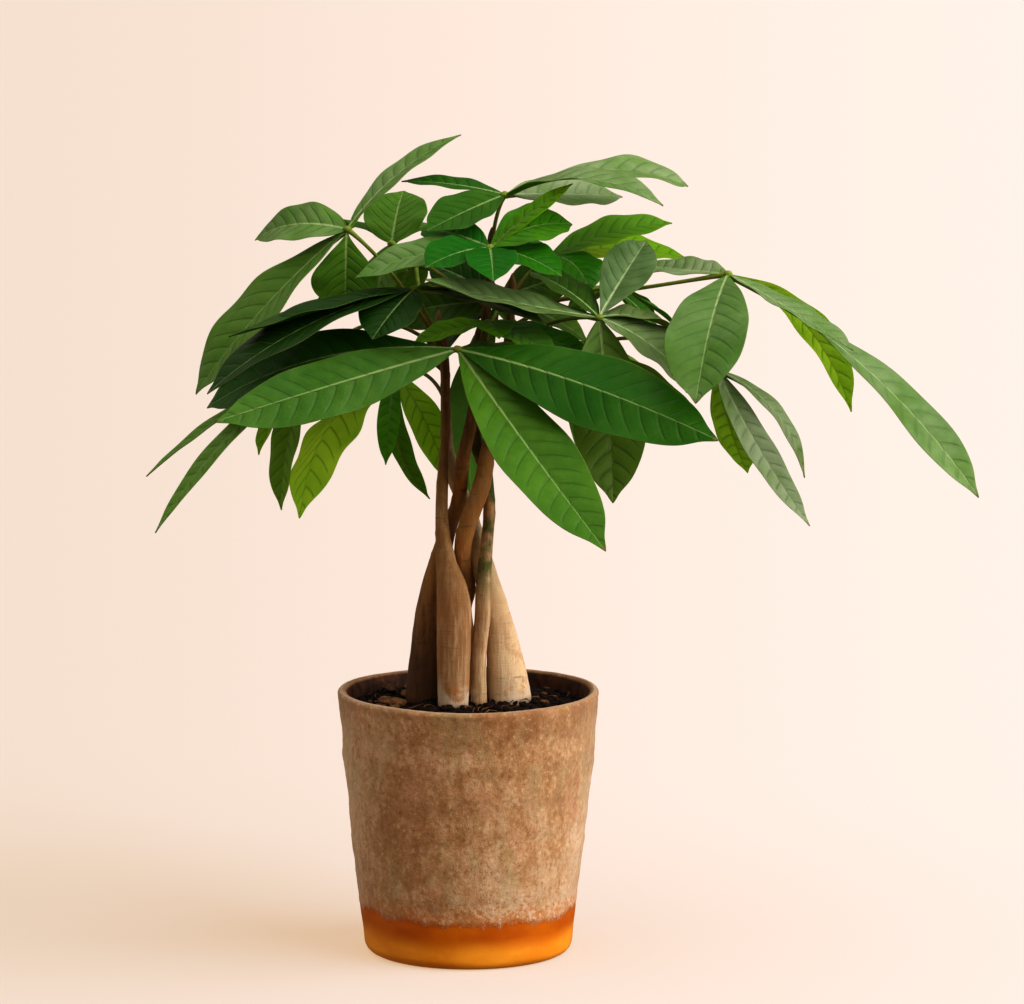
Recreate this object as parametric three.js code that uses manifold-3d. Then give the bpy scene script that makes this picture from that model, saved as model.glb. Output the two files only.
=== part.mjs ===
import * as THREE from "three";
import { mergeVertices } from "three/addons/utils/BufferGeometryUtils.js";
import Module from "manifold-3d";

// Potted money tree: a braided Pachira in a handmade clay pot.
// Millimetres, +Z up. The origin is the centre of the pot's flat bottom, and the photo looks along +Y.

// Pot
const POT_HEIGHT = 144;
const POT_TOP_R = 71;
const POT_BASE_R = 56;
const POT_WALL = 5;
const POT_FLOOR = 8;
const POT_SIDES = 48;
const POT_WOBBLE = 0.5;

// Soil
const SOIL_TOP = 134;
const SOIL_SIDES = 30;
const SOIL_RINGS = 5;
const SOIL_LUMP = 1.6;
const CHIP_COUNT = 10;

// Clearance left between neighbouring pieces
const GAP = 0.3;

// Stems
const STEM_SIDES = 11;
const STEM_FOOT = 92;

// Leaves
const BLADE_STEPS = 6;
const BLADE_THICK = 0.8;
const BLADE_FOLD = 10;
const BLADE_WAVE = 0.5;
const BLADE_BASE_HALF = 1.1;
const BLADE_TIP_HALF = 0.5;
const HUB_R = 2.6;
const PETIOLE_R = 1.5;
const PETIOLE_SIDES = 4;
const PETIOLE_STEPS = 5;

// Stem centre lines from the soil up: height, x, y, radius
const STEMS = {
  stem_front_left: [
    [136, -8.2, -13, 7.8],
    [150, -8, -13, 8.6],
    [165, -7.8, -12.5, 9.1],
    [190, -7.4, -11, 9.3],
    [203, -8.8, -9.8, 8.1],
    [213, -11.3, -8.5, 5.9],
    [228, -13.3, -6, 4.1],
    [242, -14.1, -3.5, 3.4],
    [256, -13.9, -0.5, 3.1],
    [270, -13.2, 2.5, 2.5],
    [285, -12, 2.5, 2.2],
    [305, -11.6, -0.5, 2],
    [320, -11.8, -3, 2],
    [334, -13, -3, 1.9],
  ],
  stem_left: [
    [136, -23.5, 9, 10.3],
    [155, -23, 8.5, 9.5],
    [170, -22, 8, 8.7],
    [185, -21.1, 6.5, 7.8],
    [199, -18.9, 6, 6.8],
    [213, -15.7, 6.5, 5.8],
    [222, -13.4, 6.5, 4.9],
    [232, -10.5, 6, 4.3],
    [244, -6, 3.3, 3.9],
    [256, -3.8, -1.2, 3.7],
    [268, -3, -6, 3.7],
    [290, 1.5, -10, 3.1],
    [310, 4.5, -12, 2.6],
    [335, 6, -12, 2],
  ],
  stem_back: [
    [136, -6, 23, 9.3],
    [168, -4.2, 16.4, 7.8],
    [187, -4.6, 11.5, 6.6],
    [198, -1.8, 8.4, 5.9],
    [206, -2.6, 4.6, 5.2],
    [214, -3, -0.3, 4.5],
    [228, -2.2, -5, 4.7],
    [242, 1.9, -7.5, 4.8],
    [256, 7, -7, 4.8],
    [265, 9, -4, 4.4],
    [275, 10.6, 0.5, 4],
    [290, 14, 4, 3.4],
    [310, 18, 6, 2.8],
    [335, 22, 8, 2.4],
    [360, 24, 10, 2],
  ],
  stem_middle: [
    [136, 5.8, -6, 4.4],
    [165, 5.8, -6.8, 4.3],
    [185, 8, -8, 4.3],
    [199, 8.3, -8, 4.2],
    [213, 9.1, -6.6, 3.7],
    [228, 10.5, -3, 3.2],
    [242, 11.5, 0.5, 3.2],
    [256, 10.5, 4, 3.3],
    [265, 9, 6, 3.4],
    [275, 5, 7, 3.4],
    [290, 3, 5, 3.2],
    [320, 6, 8, 2.8],
    [350, 10, 10, 2.4],
    [385, 13, 10, 2],
  ],
  stem_right: [
    [136, 22.4, 5, 11.6],
    [155, 20.2, 5, 10.4],
    [171, 17.9, 5, 8.7],
    [192, 13.6, 3.6, 7.1],
    [203, 10.4, 4, 6.4],
    [213, 7.4, 4.9, 6.1],
    [228, 3.3, 7, 5.2],
    [242, 0, 11, 4.4],
    [250, -4, 11.8, 4.3],
    [262, -8.5, 11, 4.1],
    [275, -11.3, 12, 3.5],
    [290, -12, 15, 2.9],
    [318, -13, 20, 2.2],
    [339, -16, 22, 1.8],
  ],
};

// Leaves seen in the photo. Each has the stem it grows from, the height where its stalk leaves, a
// point that the stalk bends toward, the hub where its leaflets meet, and one row for each leaflet:
// tip x, tip y, tip z, width, arch, roll, twist and, where they aren't the usual ones, fold and how
// far towards the tip the leaflet is widest.
const LEAVES = {
  leaf_front: {
    stem: "stem_left", at: 318, via: [-2, -30, 334], hub: [-5, -48, 336], tint: "green",
    blades: [
      [-132, -85, 302, 36, 2, -50, 0, -6],
      [72, -150, 244, 42, -2, 22, 0],
      [131, -112, 296, 45, 9.5, 48, 0, -6, 1.1],
      [-140, -14, 300, 46, 15, -34, 0, 10, 1.5],
      [52, 2, 326, 30, 2, 0, 0],
    ],
  },
  leaf_middle_right: {
    stem: "stem_back", at: 332, via: [45, -12, 350], hub: [70, -40, 352], tint: "dark",
    blades: [
      [-22, -64, 375, 31, -2, -16, 0],
      [96, 6, 388, 28, 2, 25, 0, 10, 1.3],
      [122, -6, 330, 32, 8, 10, 0],
      [122, -46, 312, 38, 6, 20, 0],
      [77, -78, 258, 41, 4, 0, 0],
      [33, -10, 373, 30, 3, 0, 0],
      [63, -30, 272, 22, 4, 0, 0],
    ],
  },
  leaf_right: {
    stem: "stem_back", at: 352, via: [80, 6, 360], hub: [139, -30, 374], tint: "green",
    blades: [
      [119, -116, 316, 44, 9, 0, 0, 10, 1.2],
      [203, -78, 339, 28, 1, -4, 0],
      [207, 0, 296, 31, 15, -14, 0],
      [269, -85, 262, 29, 11, -20, 58, 10, 1.5],
      [93, 32, 372, 27, 0, -14, 0],
    ],
  },
  leaf_low_right: {
    stem: "stem_back", at: 314, via: [98, 12, 354], hub: [134, -8, 320], tint: "green",
    blades: [
      [181, -72, 245, 18, -4.5, 12, 0, 10, 0.8],
      [181, -20, 263, 15, 11, 14, 0],
      [153, 40, 257, 22, -4, 0, 0],
      [120, 66, 298, 26, 6, 0, 0],
    ],
  },
  leaf_left: {
    stem: "stem_right", at: 328, via: [-40, 16, 374], hub: [-65, 10, 394], tint: "green",
    blades: [
      [-116, 40, 385, 28, 8, -42, 0, 10, 0.75],
      [-4, 45, 442, 20, 6, 6, 0],
      [-147, 4, 305, 48, 5, -22, 0, 10, 1.2],
      [-66, 2, 352, 37, 2, 0, 0, 10, 1.6],
    ],
  },
  leaf_top: {
    stem: "stem_middle", at: 380, via: [14, 8, 402], hub: [20, 5, 413], tint: "green",
    blades: [
      [-36, 30, 418, 17, 2, -15, 0],
      [119, 22, 416, 34, 12, 16, 0, 10, 2.4],
      [104, -35, 411, 30, 12, 8, 0],
      [-22, -22, 396, 30, 1, -25, 0],
      [84, 46, 408, 31, 1, 26, 0],
    ],
  },
  leaf_centre: {
    stem: "stem_middle", at: 366, via: [12, -10, 386], hub: [12, -30, 388], tint: "bright",
    blades: [
      [-22, -56, 380, 30, 3, -20, 0],
      [14, -75, 375, 28, 3, 0, 0],
      [50, -50, 375, 30, 3, 15, 0],
      [56, -16, 421, 10, 2, 40, 0],
      [-60, -22, 371, 27, 5, -28, 0],
      [-25, 6, 394, 24, 3, -28, 0],
      [56, -16, 399, 33, 6, 30, 0],
    ],
  },
  leaf_upper_right: {
    stem: "stem_back", at: 358, via: [34, 22, 372], hub: [43, 35, 376], tint: "bright",
    blades: [
      [111, 42, 394, 29, 4, 22, 0],
      [122, 74, 370, 34, 6, 20, 0],
      [66, 8, 360, 34, 7, 0, 0],
      [8, 76, 378, 24, 5, 0, 0],
    ],
  },
  leaf_middle_left: {
    stem: "stem_front_left", at: 331, via: [-21, -16, 348], hub: [-28, -28, 366], tint: "dark",
    blades: [
      [-127, -34, 341, 30, 1, 0, 0],
      [-138, -48, 312, 42, 9, -14, 0],
      [-50, -56, 342, 36, 2, -10, 0],
      [42, -50, 349, 26, 4, 10, 0],
      [5, -46, 363, 22, 3, 0, 0],
    ],
  },
  leaf_upper_left: {
    stem: "stem_middle", at: 352, via: [-24, 30, 374], hub: [-42, 50, 382], tint: "green",
    blades: [
      [-36, 80, 408, 36, 3, 0, 0, 10, 0.75],
      [-50, 42, 336, 32, 4, 0, 0],
      [-66, 112, 384, 32, 6, 0, 0],
      [-8, 104, 382, 28, 6, 0, 0],
    ],
  },
  leaf_low_left: {
    stem: "stem_front_left", at: 327, via: [-50, 14, 362], hub: [-82, 2, 322], tint: "green",
    blades: [
      [-173, -15, 263, 15, 4, -4, 0],
      [-166, -52, 238, 13, 9, -14, 0],
      [-114, 18, 270, 22, 5, 0, 0],
      [-100, -24, 246, 26, 6, 20, 0],
    ],
  },
  leaf_hanging: {
    stem: "stem_right", at: 300, via: [-22, 44, 318], hub: [-41, 60, 310], tint: "bright",
    blades: [
      [-95, 96, 223, 53, -16, 180, 0],
      [-45, 22, 264, 13, 3, 0, 0],
      [-22, 84, 236, 16, -12, 0, 0],
      [-12, 50, 252, 21, 8, 45, 0],
    ],
  },
  leaf_young: {
    stem: "stem_left", at: 330, via: [8, -16, 342], hub: [11, -22, 347], tint: "bright",
    blades: [
      [-29, -27, 336, 20, 2, -20, 0],
      [17, -50, 342, 22, 3, 0, 0],
      [45, -50, 331, 26, 3, 10, 0],
      [68, -30, 329, 23, 2, 20, 0],
    ],
  },
  leaf_inner: {
    stem: "stem_middle", at: 336, via: [16, 22, 346], hub: [17, 30, 353], tint: "dark",
    blades: [
      [-14, 40, 327, 28, 4, -30, 0],
      [66, 42, 328, 28, 4, 26, 0],
      [-22, 40, 372, 28, 4, -50, 0],
      [56, 46, 364, 28, 4, 50, 0],
      [1, 44, 242, 34, 8, 0, 0],
      [-42, 50, 342, 30, 4, -60, 0],
      [-32, 76, 303, 26, 4, -50, 0],
    ],
  },
};

// Leaves behind, which the photo hides: stem, height, stalk point, hub, heading in degrees from +X,
// reach of the middle leaflet, and how far its tip hangs below the hub
const BACK_LEAVES = {
  leaf_back_left: ["stem_right", 316, [-46, 42, 340], [-80, 70, 323], 138, 70, 36],
  leaf_back: ["stem_right", 330, [-22, 66, 312], [-30, 104, 364], 100, 84, 46],
  leaf_back_right: ["stem_back", 318, [40, 56, 344], [50, 96, 322], 66, 88, 48],
  leaf_right_back: ["stem_back", 340, [66, 26, 366], [78, 76, 354], 62, 52, 34],
};
const FAN_TURNS = [-104, -54, 0, 54, 104];
const FAN_LENGTHS = [0.68, 0.9, 1, 0.9, 0.68];
const FAN_WIDTH = 0.34;

const TINTS = {
  dark: [0x16330f, 0.42],
  green: [0x2f5f1c, 0.42],
  bright: [0x4d8a1c, 0.45],
};

const wasm = await Module();
wasm.setup();

// Repeatable random numbers from 0 to 1
function seeded(seed) {
  let state = seed;
  return () => {
    state = (state * 1664525 + 1013904223) % 4294967296;
    return state / 4294967296;
  };
}

function solid(geometry) {
  const bare = new THREE.BufferGeometry();
  bare.setAttribute("position", geometry.getAttribute("position"));
  if (geometry.index) bare.setIndex(geometry.index);
  const merged = mergeVertices(bare, 1e-4);
  return new wasm.Manifold(new wasm.Mesh({
    numProp: 3,
    vertProperties: new Float32Array(merged.attributes.position.array),
    triVerts: new Uint32Array(merged.index.array),
  }));
}

function toMesh(name, body, colour, roughness) {
  const { numProp, numVert, vertProperties, triVerts } = body.getMesh();
  const points = new Float32Array(numVert * 3);
  for (let i = 0; i < numVert; i++) {
    points.set(vertProperties.subarray(i * numProp, i * numProp + 3), i * 3);
  }
  const geometry = new THREE.BufferGeometry();
  geometry.setAttribute("position", new THREE.BufferAttribute(points, 3));
  geometry.setIndex(new THREE.BufferAttribute(new Uint32Array(triVerts), 1));
  geometry.computeVertexNormals();
  const material = new THREE.MeshStandardMaterial({ color: colour, roughness, metalness: 0 });
  const mesh = new THREE.Mesh(geometry, material);
  mesh.name = name;
  return mesh;
}

// A closed skin through rings of points that all have the same count, capped at both ends.
// Sides listed in flipped are split along the other diagonal.
function skin(rings, flipped = []) {
  const count = rings[0].length;
  const points = rings.flat();
  const faces = [];
  for (let i = 0; i + 1 < rings.length; i++) {
    for (let j = 0; j < count; j++) {
      const next = (j + 1) % count;
      const a = i * count + j;
      const b = i * count + next;
      const c = (i + 1) * count + next;
      const d = (i + 1) * count + j;
      if (flipped.includes(j)) faces.push(a, b, d, b, c, d);
      else faces.push(a, b, c, a, c, d);
    }
  }
  const last = (rings.length - 1) * count;
  for (let j = 1; j + 1 < count; j++) {
    faces.push(0, j + 1, j);
    faces.push(last, last + j, last + j + 1);
  }
  const geometry = new THREE.BufferGeometry();
  const flat = points.flatMap((p) => [p.x, p.y, p.z]);
  geometry.setAttribute("position", new THREE.Float32BufferAttribute(flat, 3));
  geometry.setIndex(faces);
  return geometry;
}

// A round rod along points, its radius given at each
function rod(points, radii, sides, lobe = 0, phase = 0) {
  let side = new THREE.Vector3(1, 0, 0);
  const rings = points.map((point, i) => {
    const before = points[Math.max(i - 1, 0)];
    const after = points[Math.min(i + 1, points.length - 1)];
    const along = after.clone().sub(before).normalize();
    side = side.clone().addScaledVector(along, -side.dot(along)).normalize();
    const up = along.clone().cross(side);
    return Array.from({ length: sides }, (_, j) => {
      const turn = (2 * Math.PI * j) / sides;
      const r = radii[i] * (1 + lobe * Math.sin(3 * turn + phase + i * 0.35));
      return point.clone()
        .addScaledVector(side, r * Math.cos(turn))
        .addScaledVector(up, r * Math.sin(turn));
    });
  });
  return solid(skin(rings));
}

function curvePoint(a, b, c, t) {
  return a.clone().multiplyScalar((1 - t) * (1 - t))
    .addScaledVector(b, 2 * t * (1 - t))
    .addScaledVector(c, t * t);
}

// Share of the full width along a leaflet: slim at the base, fullest just past the middle, pointed
function fullness(t) {
  return (t * (1 - t) ** 0.85) / 0.2791;
}

// One leaflet: its midrib arches from the hub to the tip, and its two halves fold up a little
function blade(hub, row, phase) {
  const [x, y, z, width, arch, roll, twist, foldAngle = BLADE_FOLD, late = 1] = row;
  const tip = new THREE.Vector3(x, y, z);
  const chord = tip.clone().sub(hub).normalize();
  const upward = new THREE.Vector3(chord.x, chord.y, 0).setLength(0.5).setZ(1);
  const across = chord.clone().cross(upward).normalize()
    .applyAxisAngle(chord, THREE.MathUtils.degToRad(roll));
  const face = across.clone().cross(chord);
  const middle = hub.clone().add(tip).multiplyScalar(0.5).addScaledVector(face, 2 * arch);
  const fold = THREE.MathUtils.degToRad(foldAngle);
  const rings = [];
  for (let i = 0; i <= BLADE_STEPS; i++) {
    const t = i / BLADE_STEPS;
    const centre = curvePoint(hub, middle, tip, t);
    const along = middle.clone().sub(hub).multiplyScalar(1 - t)
      .addScaledVector(tip.clone().sub(middle), t).normalize();
    const side = across.clone().applyAxisAngle(along, THREE.MathUtils.degToRad(twist * t));
    const normal = side.clone().cross(along);
    const least = THREE.MathUtils.lerp(BLADE_BASE_HALF, BLADE_TIP_HALF, t);
    const half = Math.max(least, (width / 2) * fullness(t ** late));
    const thick = BLADE_THICK + 1.2 * (1 - t) ** 8;
    const wave = (half / width) * 2 * BLADE_WAVE * Math.sin(i * 2.3 + phase);
    const lift = half * Math.sin(fold);
    const reach = half * Math.cos(fold);
    const left = centre.clone().addScaledVector(side, -reach).addScaledVector(normal, lift + wave);
    const right = centre.clone().addScaledVector(side, reach).addScaledVector(normal, lift - wave);
    const upper = [left, centre, right].map((p) => p.clone().addScaledVector(normal, thick / 2));
    const lower = [right, centre, left].map((p) => p.clone().addScaledVector(normal, -thick / 2));
    rings.push([...upper, ...lower]);
  }
  return solid(skin(rings, [3, 4]));
}

function stemLine(name) {
  const rows = STEMS[name];
  const [height, x, y, radius] = rows[0];
  const foot = [
    [STEM_FOOT, x * 1.05, y * 1.05, radius * 0.3],
    [STEM_FOOT + 12, x * 1.05, y * 1.05, radius * 0.8],
    [height - 14, x, y, radius],
  ];
  return [...foot, ...rows];
}

function stem(name, grow = 0) {
  const rows = stemLine(name);
  const points = rows.map(([z, x, y], i) => {
    const end = i === 0 ? -grow : i === rows.length - 1 ? grow : 0;
    return new THREE.Vector3(x, y, z + end);
  });
  const radii = rows.map((row) => row[3] + grow);
  return rod(points, radii, STEM_SIDES, 0.03, rows[3][1]);
}

// The point on a stem's centre line at a height
function stemPoint(name, height) {
  const rows = stemLine(name);
  const i = Math.max(1, rows.findIndex((row) => row[0] >= height));
  const [z0, x0, y0] = rows[i - 1];
  const [z1, x1, y1] = rows[i];
  const t = (height - z0) / (z1 - z0);
  return new THREE.Vector3(x0 + (x1 - x0) * t, y0 + (y1 - y0) * t, height);
}

// One compound leaf: stalk, hub and leaflets in one piece, its stalk ending just clear of the stem
function leaf(stemName, at, via, hubAt, blades, seed) {
  const random = seeded(seed);
  const start = stemPoint(stemName, at);
  const hub = new THREE.Vector3(...hubAt);
  const bend = new THREE.Vector3(...via);
  const line = [];
  const radii = [];
  for (let i = 0; i <= PETIOLE_STEPS; i++) {
    const t = i / PETIOLE_STEPS;
    line.push(curvePoint(start, bend, hub, t));
    radii.push(PETIOLE_R * (0.75 + 0.5 * (2 * t - 1) ** 4));
  }
  const knob = solid(new THREE.SphereGeometry(HUB_R, 6, 4)).translate(hub.toArray());
  const parts = [rod(line, radii, PETIOLE_SIDES), knob];
  for (const row of blades) parts.push(blade(hub, row, random() * 6));
  return wasm.Manifold.union(parts).subtract(stem(stemName, GAP));
}

// Leaflet rows of a leaf by rule: a fan round its heading, drooping to the tips
function fan(hub, heading, reach, drop, seed) {
  const random = seeded(seed);
  return FAN_TURNS.map((turn, i) => {
    const length = reach * FAN_LENGTHS[i] * (0.94 + 0.12 * random());
    const angle = THREE.MathUtils.degToRad(heading + turn);
    const fall = drop * (0.8 + 0.3 * random()) * FAN_LENGTHS[i];
    return [
      hub[0] + length * Math.cos(angle),
      hub[1] + length * Math.sin(angle),
      hub[2] - fall,
      length * FAN_WIDTH,
      length * 0.12,
      0,
      0,
    ];
  });
}

function potRadius(z) {
  return POT_BASE_R + ((POT_TOP_R - POT_BASE_R) * z) / POT_HEIGHT;
}

function pot() {
  const inside = (z) => potRadius(z) - POT_WALL;
  const rim = POT_WALL / 2;
  const outline = [
    [0, 0],
    [POT_BASE_R - 4, 0],
    [POT_BASE_R - 1.2, 1.2],
    [potRadius(5), 5],
    [potRadius(26), 26],
    [potRadius(50), 50],
    [potRadius(75), 75],
    [potRadius(100), 100],
    [potRadius(122), 122],
    [potRadius(POT_HEIGHT - 2.2), POT_HEIGHT - 2.2],
    [POT_TOP_R - 0.9, POT_HEIGHT - 0.6],
    [POT_TOP_R - rim, POT_HEIGHT],
    [POT_TOP_R - POT_WALL + 0.9, POT_HEIGHT - 0.6],
    [inside(POT_HEIGHT - 3), POT_HEIGHT - 3],
    [inside(POT_FLOOR), POT_FLOOR],
    [0, POT_FLOOR],
  ].map(([r, z]) => new THREE.Vector2(r, z));
  const turned = new THREE.LatheGeometry(outline, POT_SIDES);
  turned.rotateX(Math.PI / 2);
  const at = turned.getAttribute("position");
  for (let i = 0; i < at.count; i++) {
    const x = at.getX(i);
    const y = at.getY(i);
    const z = at.getZ(i);
    const r = Math.hypot(x, y);
    const outer = r > potRadius(z) - 1 && z > 3 && z < POT_HEIGHT - 3;
    if (!outer) continue;
    const turn = Math.atan2(y, x);
    const grow = 1 + (POT_WOBBLE / r) * (Math.sin(2 * turn + z / 40) + 0.6 * Math.sin(5 * turn - z / 23));
    at.setX(i, x * grow);
    at.setY(i, y * grow);
  }
  return solid(turned);
}

function soil() {
  const random = seeded(41);
  const topR = potRadius(SOIL_TOP) - POT_WALL - GAP;
  const ring = (r, z) => Array.from({ length: SOIL_SIDES }, (_, j) => {
    const turn = (2 * Math.PI * j) / SOIL_SIDES;
    return new THREE.Vector3(r * Math.cos(turn), r * Math.sin(turn), z);
  });
  const rings = [
    ring(potRadius(POT_FLOOR) - POT_WALL - GAP, POT_FLOOR + GAP),
    ring(topR, SOIL_TOP),
  ];
  for (let i = 1; i < SOIL_RINGS; i++) {
    const share = 1 - i / SOIL_RINGS;
    const lumpy = ring(topR * share, SOIL_TOP);
    lumpy.forEach((p) => {
      p.z += 1.2 + SOIL_LUMP * (random() - 0.5) + 1.5 * (1 - share);
    });
    rings.push(lumpy);
  }
  let bed = solid(skin(rings));
  for (let i = 0; i < CHIP_COUNT; i++) {
    const turn = random() * 2 * Math.PI;
    const out = 26 + 30 * random();
    const size = 2.2 + 2.6 * random();
    const chip = new THREE.IcosahedronGeometry(size, 0);
    chip.scale(1.5, 1, 0.8);
    chip.rotateZ(random() * Math.PI);
    chip.translate(out * Math.cos(turn), out * Math.sin(turn), SOIL_TOP + 1.5);
    bed = bed.add(solid(chip));
  }
  for (const name of Object.keys(STEMS)) bed = bed.subtract(stem(name, GAP));
  return bed;
}

const tree = new THREE.Group();
tree.name = "potted_money_tree";
tree.add(toMesh("pot", pot(), 0x7d5a44, 0.75));
tree.add(toMesh("soil", soil(), 0x2b1510, 0.95));
for (const name of Object.keys(STEMS)) tree.add(toMesh(name, stem(name), 0x7a5536, 0.8));
Object.entries(LEAVES).forEach(([name, { stem: from, at, via, hub, blades, tint }], i) => {
  tree.add(toMesh(name, leaf(from, at, via, hub, blades, 100 + i), ...TINTS[tint]));
});
Object.entries(BACK_LEAVES).forEach(([name, [from, at, via, hub, heading, reach, drop]], i) => {
  const rows = fan(hub, heading, reach, drop, 300 + i);
  tree.add(toMesh(name, leaf(from, at, via, hub, rows, 200 + i), ...TINTS.green));
});

export default tree;
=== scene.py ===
"""Potted money tree: its finished look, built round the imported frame.

+Z is up, the camera looks along +Y, and the origin is the centre of the pot's flat bottom. The object's
lengths in the constants and tables are millimetres, as in the part's source, and become metres in
Skin.piece. The camera, the stage and the scales of the materials' noise are in metres.
"""

import math

import bpy
import numpy as np
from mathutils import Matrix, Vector, noise


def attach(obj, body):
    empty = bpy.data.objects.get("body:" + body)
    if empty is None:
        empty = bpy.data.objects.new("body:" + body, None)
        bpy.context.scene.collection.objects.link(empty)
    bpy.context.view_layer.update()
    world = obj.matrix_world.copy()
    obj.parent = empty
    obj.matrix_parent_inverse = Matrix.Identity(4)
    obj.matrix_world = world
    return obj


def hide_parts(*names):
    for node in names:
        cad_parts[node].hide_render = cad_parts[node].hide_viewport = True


MM = 0.001

# Camera: the photo's own, worked out from the pot's rim and sides
CAMERA_AT = (0.0238, -2.95, 0.69294)
CAMERA_PITCH_DEG = 8.6
CAMERA_LENS = 193.85
CAMERA_FAR = 100
SENSOR_WIDTH = 36

# Stage
FLOOR_R = 30
# The paper's glow on the left and right of the view: painted light, brighter on the key light's side
PAPER_LEFT = (0.64, 0.415, 0.21)
PAPER_RIGHT = (0.775, 0.545, 0.375)
PAPER_BASE = (0.18, 0.24, 0.33)
SKY_LOW = (0.26, 0.135, 0.055)
SKY_HIGH = (0.34, 0.275, 0.2)
SKY_BLEND = 0.25
GAMMA = 0.82
# Soft suns: the direction that each one shines from, its strength, spread in degrees and colour
SUNS = {
    "key": ((1.0, -0.36, 0.62), 4.5, 64, (1.0, 0.965, 0.925)),
    "left_fill": ((-0.85, 0.1, 0.7), 0.9, 100, (1.0, 0.95, 0.88)),
    "overhead": ((0.05, -0.15, 1.0), 1.3, 80, (0.93, 1.0, 0.97)),
}

LEAF_SEED, BACK_LEAF_SEED, FAN_SEED, SOIL_SEED, CHIP_SEED = 100, 200, 300, 77, 300

# Noise in the shapes: how slowly finer lumps fade, and how much finer each layer is
NOISE_FADE = 0.8
NOISE_FINER = 2.1

# Pot
POT_HEIGHT = 144
POT_TOP_R = 71
POT_BASE_R = 56
POT_WALL = 5
POT_FLOOR = 8
POT_CORNER = 1.5
POT_RECESS = 0.6
POT_WOBBLE = 0.5
POT_SIDES = 288
POT_STEP = 1.25
RIM_STEP_DEG = 15
RIM_HEIGHT = 0.9
WALL_SKIN = 1.2
GLAZE_TOP = 26
CRUST = 0.35
# Roughness of the pot: the size of the lumps, and how far they stand out
COARSE_SIZE, COARSE_RISE = 26, 0.28
CRUST_SIZE, CRUST_RISE = 4.2, 0.26
GRAIN_SIZE, GRAIN_RISE = 1.7, 0.1
# Outline of the foot: how far in from the base radius, and height; then the heights of points inside
POT_FOOT = ((9, POT_RECESS), (7.5, 0), (4.6, 0), (3, 0.3), (1.5, 1.1))
POT_INSIDE = (141.5, 138, 134, 128, 100, 60, 30, POT_FLOOR + POT_CORNER)
# Low lumps on the wall: angle in radians, height and how far they stand out
POT_LUMPS = ((math.pi, 107, 1.0), (0.05, 104, 0.9), (math.pi + 0.2, 98, 0.5), (-0.3, 64, 0.5))
POT_LUMP_WIDTH = 4.5
POT_LUMP_HEIGHT = 6
POT_LUMP_R = 70

# Soil
SOIL_TOP = 134
SOIL_SIDES = 180
SOIL_RINGS = 60
SOIL_GAP = 0.4
SOIL_BASE_GAP = 0.3
MOUND_EDGE = 1.2
MOUND_RISE = 1.6
LUMP_RISE = 1.5
LUMP_SIZE = 13
CRUMB_RISE = 0.9
CRUMB_SIZE = 4.2
CLODS = 620
CLOD_MARGIN = 2.5
CLOD_R, CLOD_R_MORE = 0.7, 2.1
CHIPS = 46
BIG_CHIPS = 12
CHIP_R, BIG_CHIP_R = 2.6, 5.5
CHIPS_HEADING_DEG = 150
CHIPS_FROM, CHIPS_BAND = 38, 22
FIBRES = 60
FIBRE_R = 0.28
FIBRE_POINTS = 7
FIBRE_LIFT = 1.6
FIBRE_REACH, FIBRE_REACH_MORE = 5, 9
FIBRE_BOW = 6
FIBRES_FROM, FIBRES_BAND = 22, 38

# Stems
STEM_SIDES = 40
STEM_STEP = 2.2
STEM_LOBE = 0.03
STEM_START = 112
STEM_WRINKLE = 0.022
STEM_KNOBS = 0.03
STEM_FOOT = 0.05
STEM_FOOT_TOP = 150
SCARS = 9
SCARS_FROM = 218
SCAR_SPACING = 17
SCAR_SHIFT = 5
SCAR_WIDTH = 1.3
SCAR_RISE = 0.28
# The bud on top of a stem: height above its end, and share of its radius
BUD = ((2, 1.12), (4, 1.15), (6, 0.95), (8, 0.62), (9.6, 0.25), (10.2, 0.06))

# Leaves
BLADE_STEPS = 72
BLADE_COLUMNS = 15
BLADE_CROWD = 1.35
BLADE_MARGIN = 0.975
BLADE_CUP = 0.55
BLADE_LEAN = 0.5
BLADE_BASE_HALF = 1.0
BLADE_TIP_HALF = 0.25
BLADE_THICK = 0.45
BLADE_THIN = 0.45
BLADE_TAPER = 0.85
BLADE_FULLEST = 0.2791
TIP_PINCH = 0.32
TIP_AT = 0.965
TIP_SPAN = 0.05
RIPPLE = 0.028
RIPPLE_WAVES = 17
RIPPLE_SHIFT = 1.9
QUILT = 0.042
GROOVE = 0.18
KEEL_TIP = 0.25
KEEL_BASE = 1.5
VEIN_PAIRS = 5
VEIN_SPACING = 17
VEIN_SLANT = 0.5
VEIN_CURVE = 0.4
VEIN_STAGGER = 0.45
HUB_R = 2.5
PETIOLE_R = 1.5
PETIOLE_SIDES = 14
PETIOLE_STEPS = 30
# Roll, twist, fold and place of the widest part of a leaflet, where its row leaves them out
BLADE_USUAL = (0, 0, 10, 1)
# What the last value of leaf_vein says about a point
UPPER, LOWER, STALK = 0, 1, 2

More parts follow.
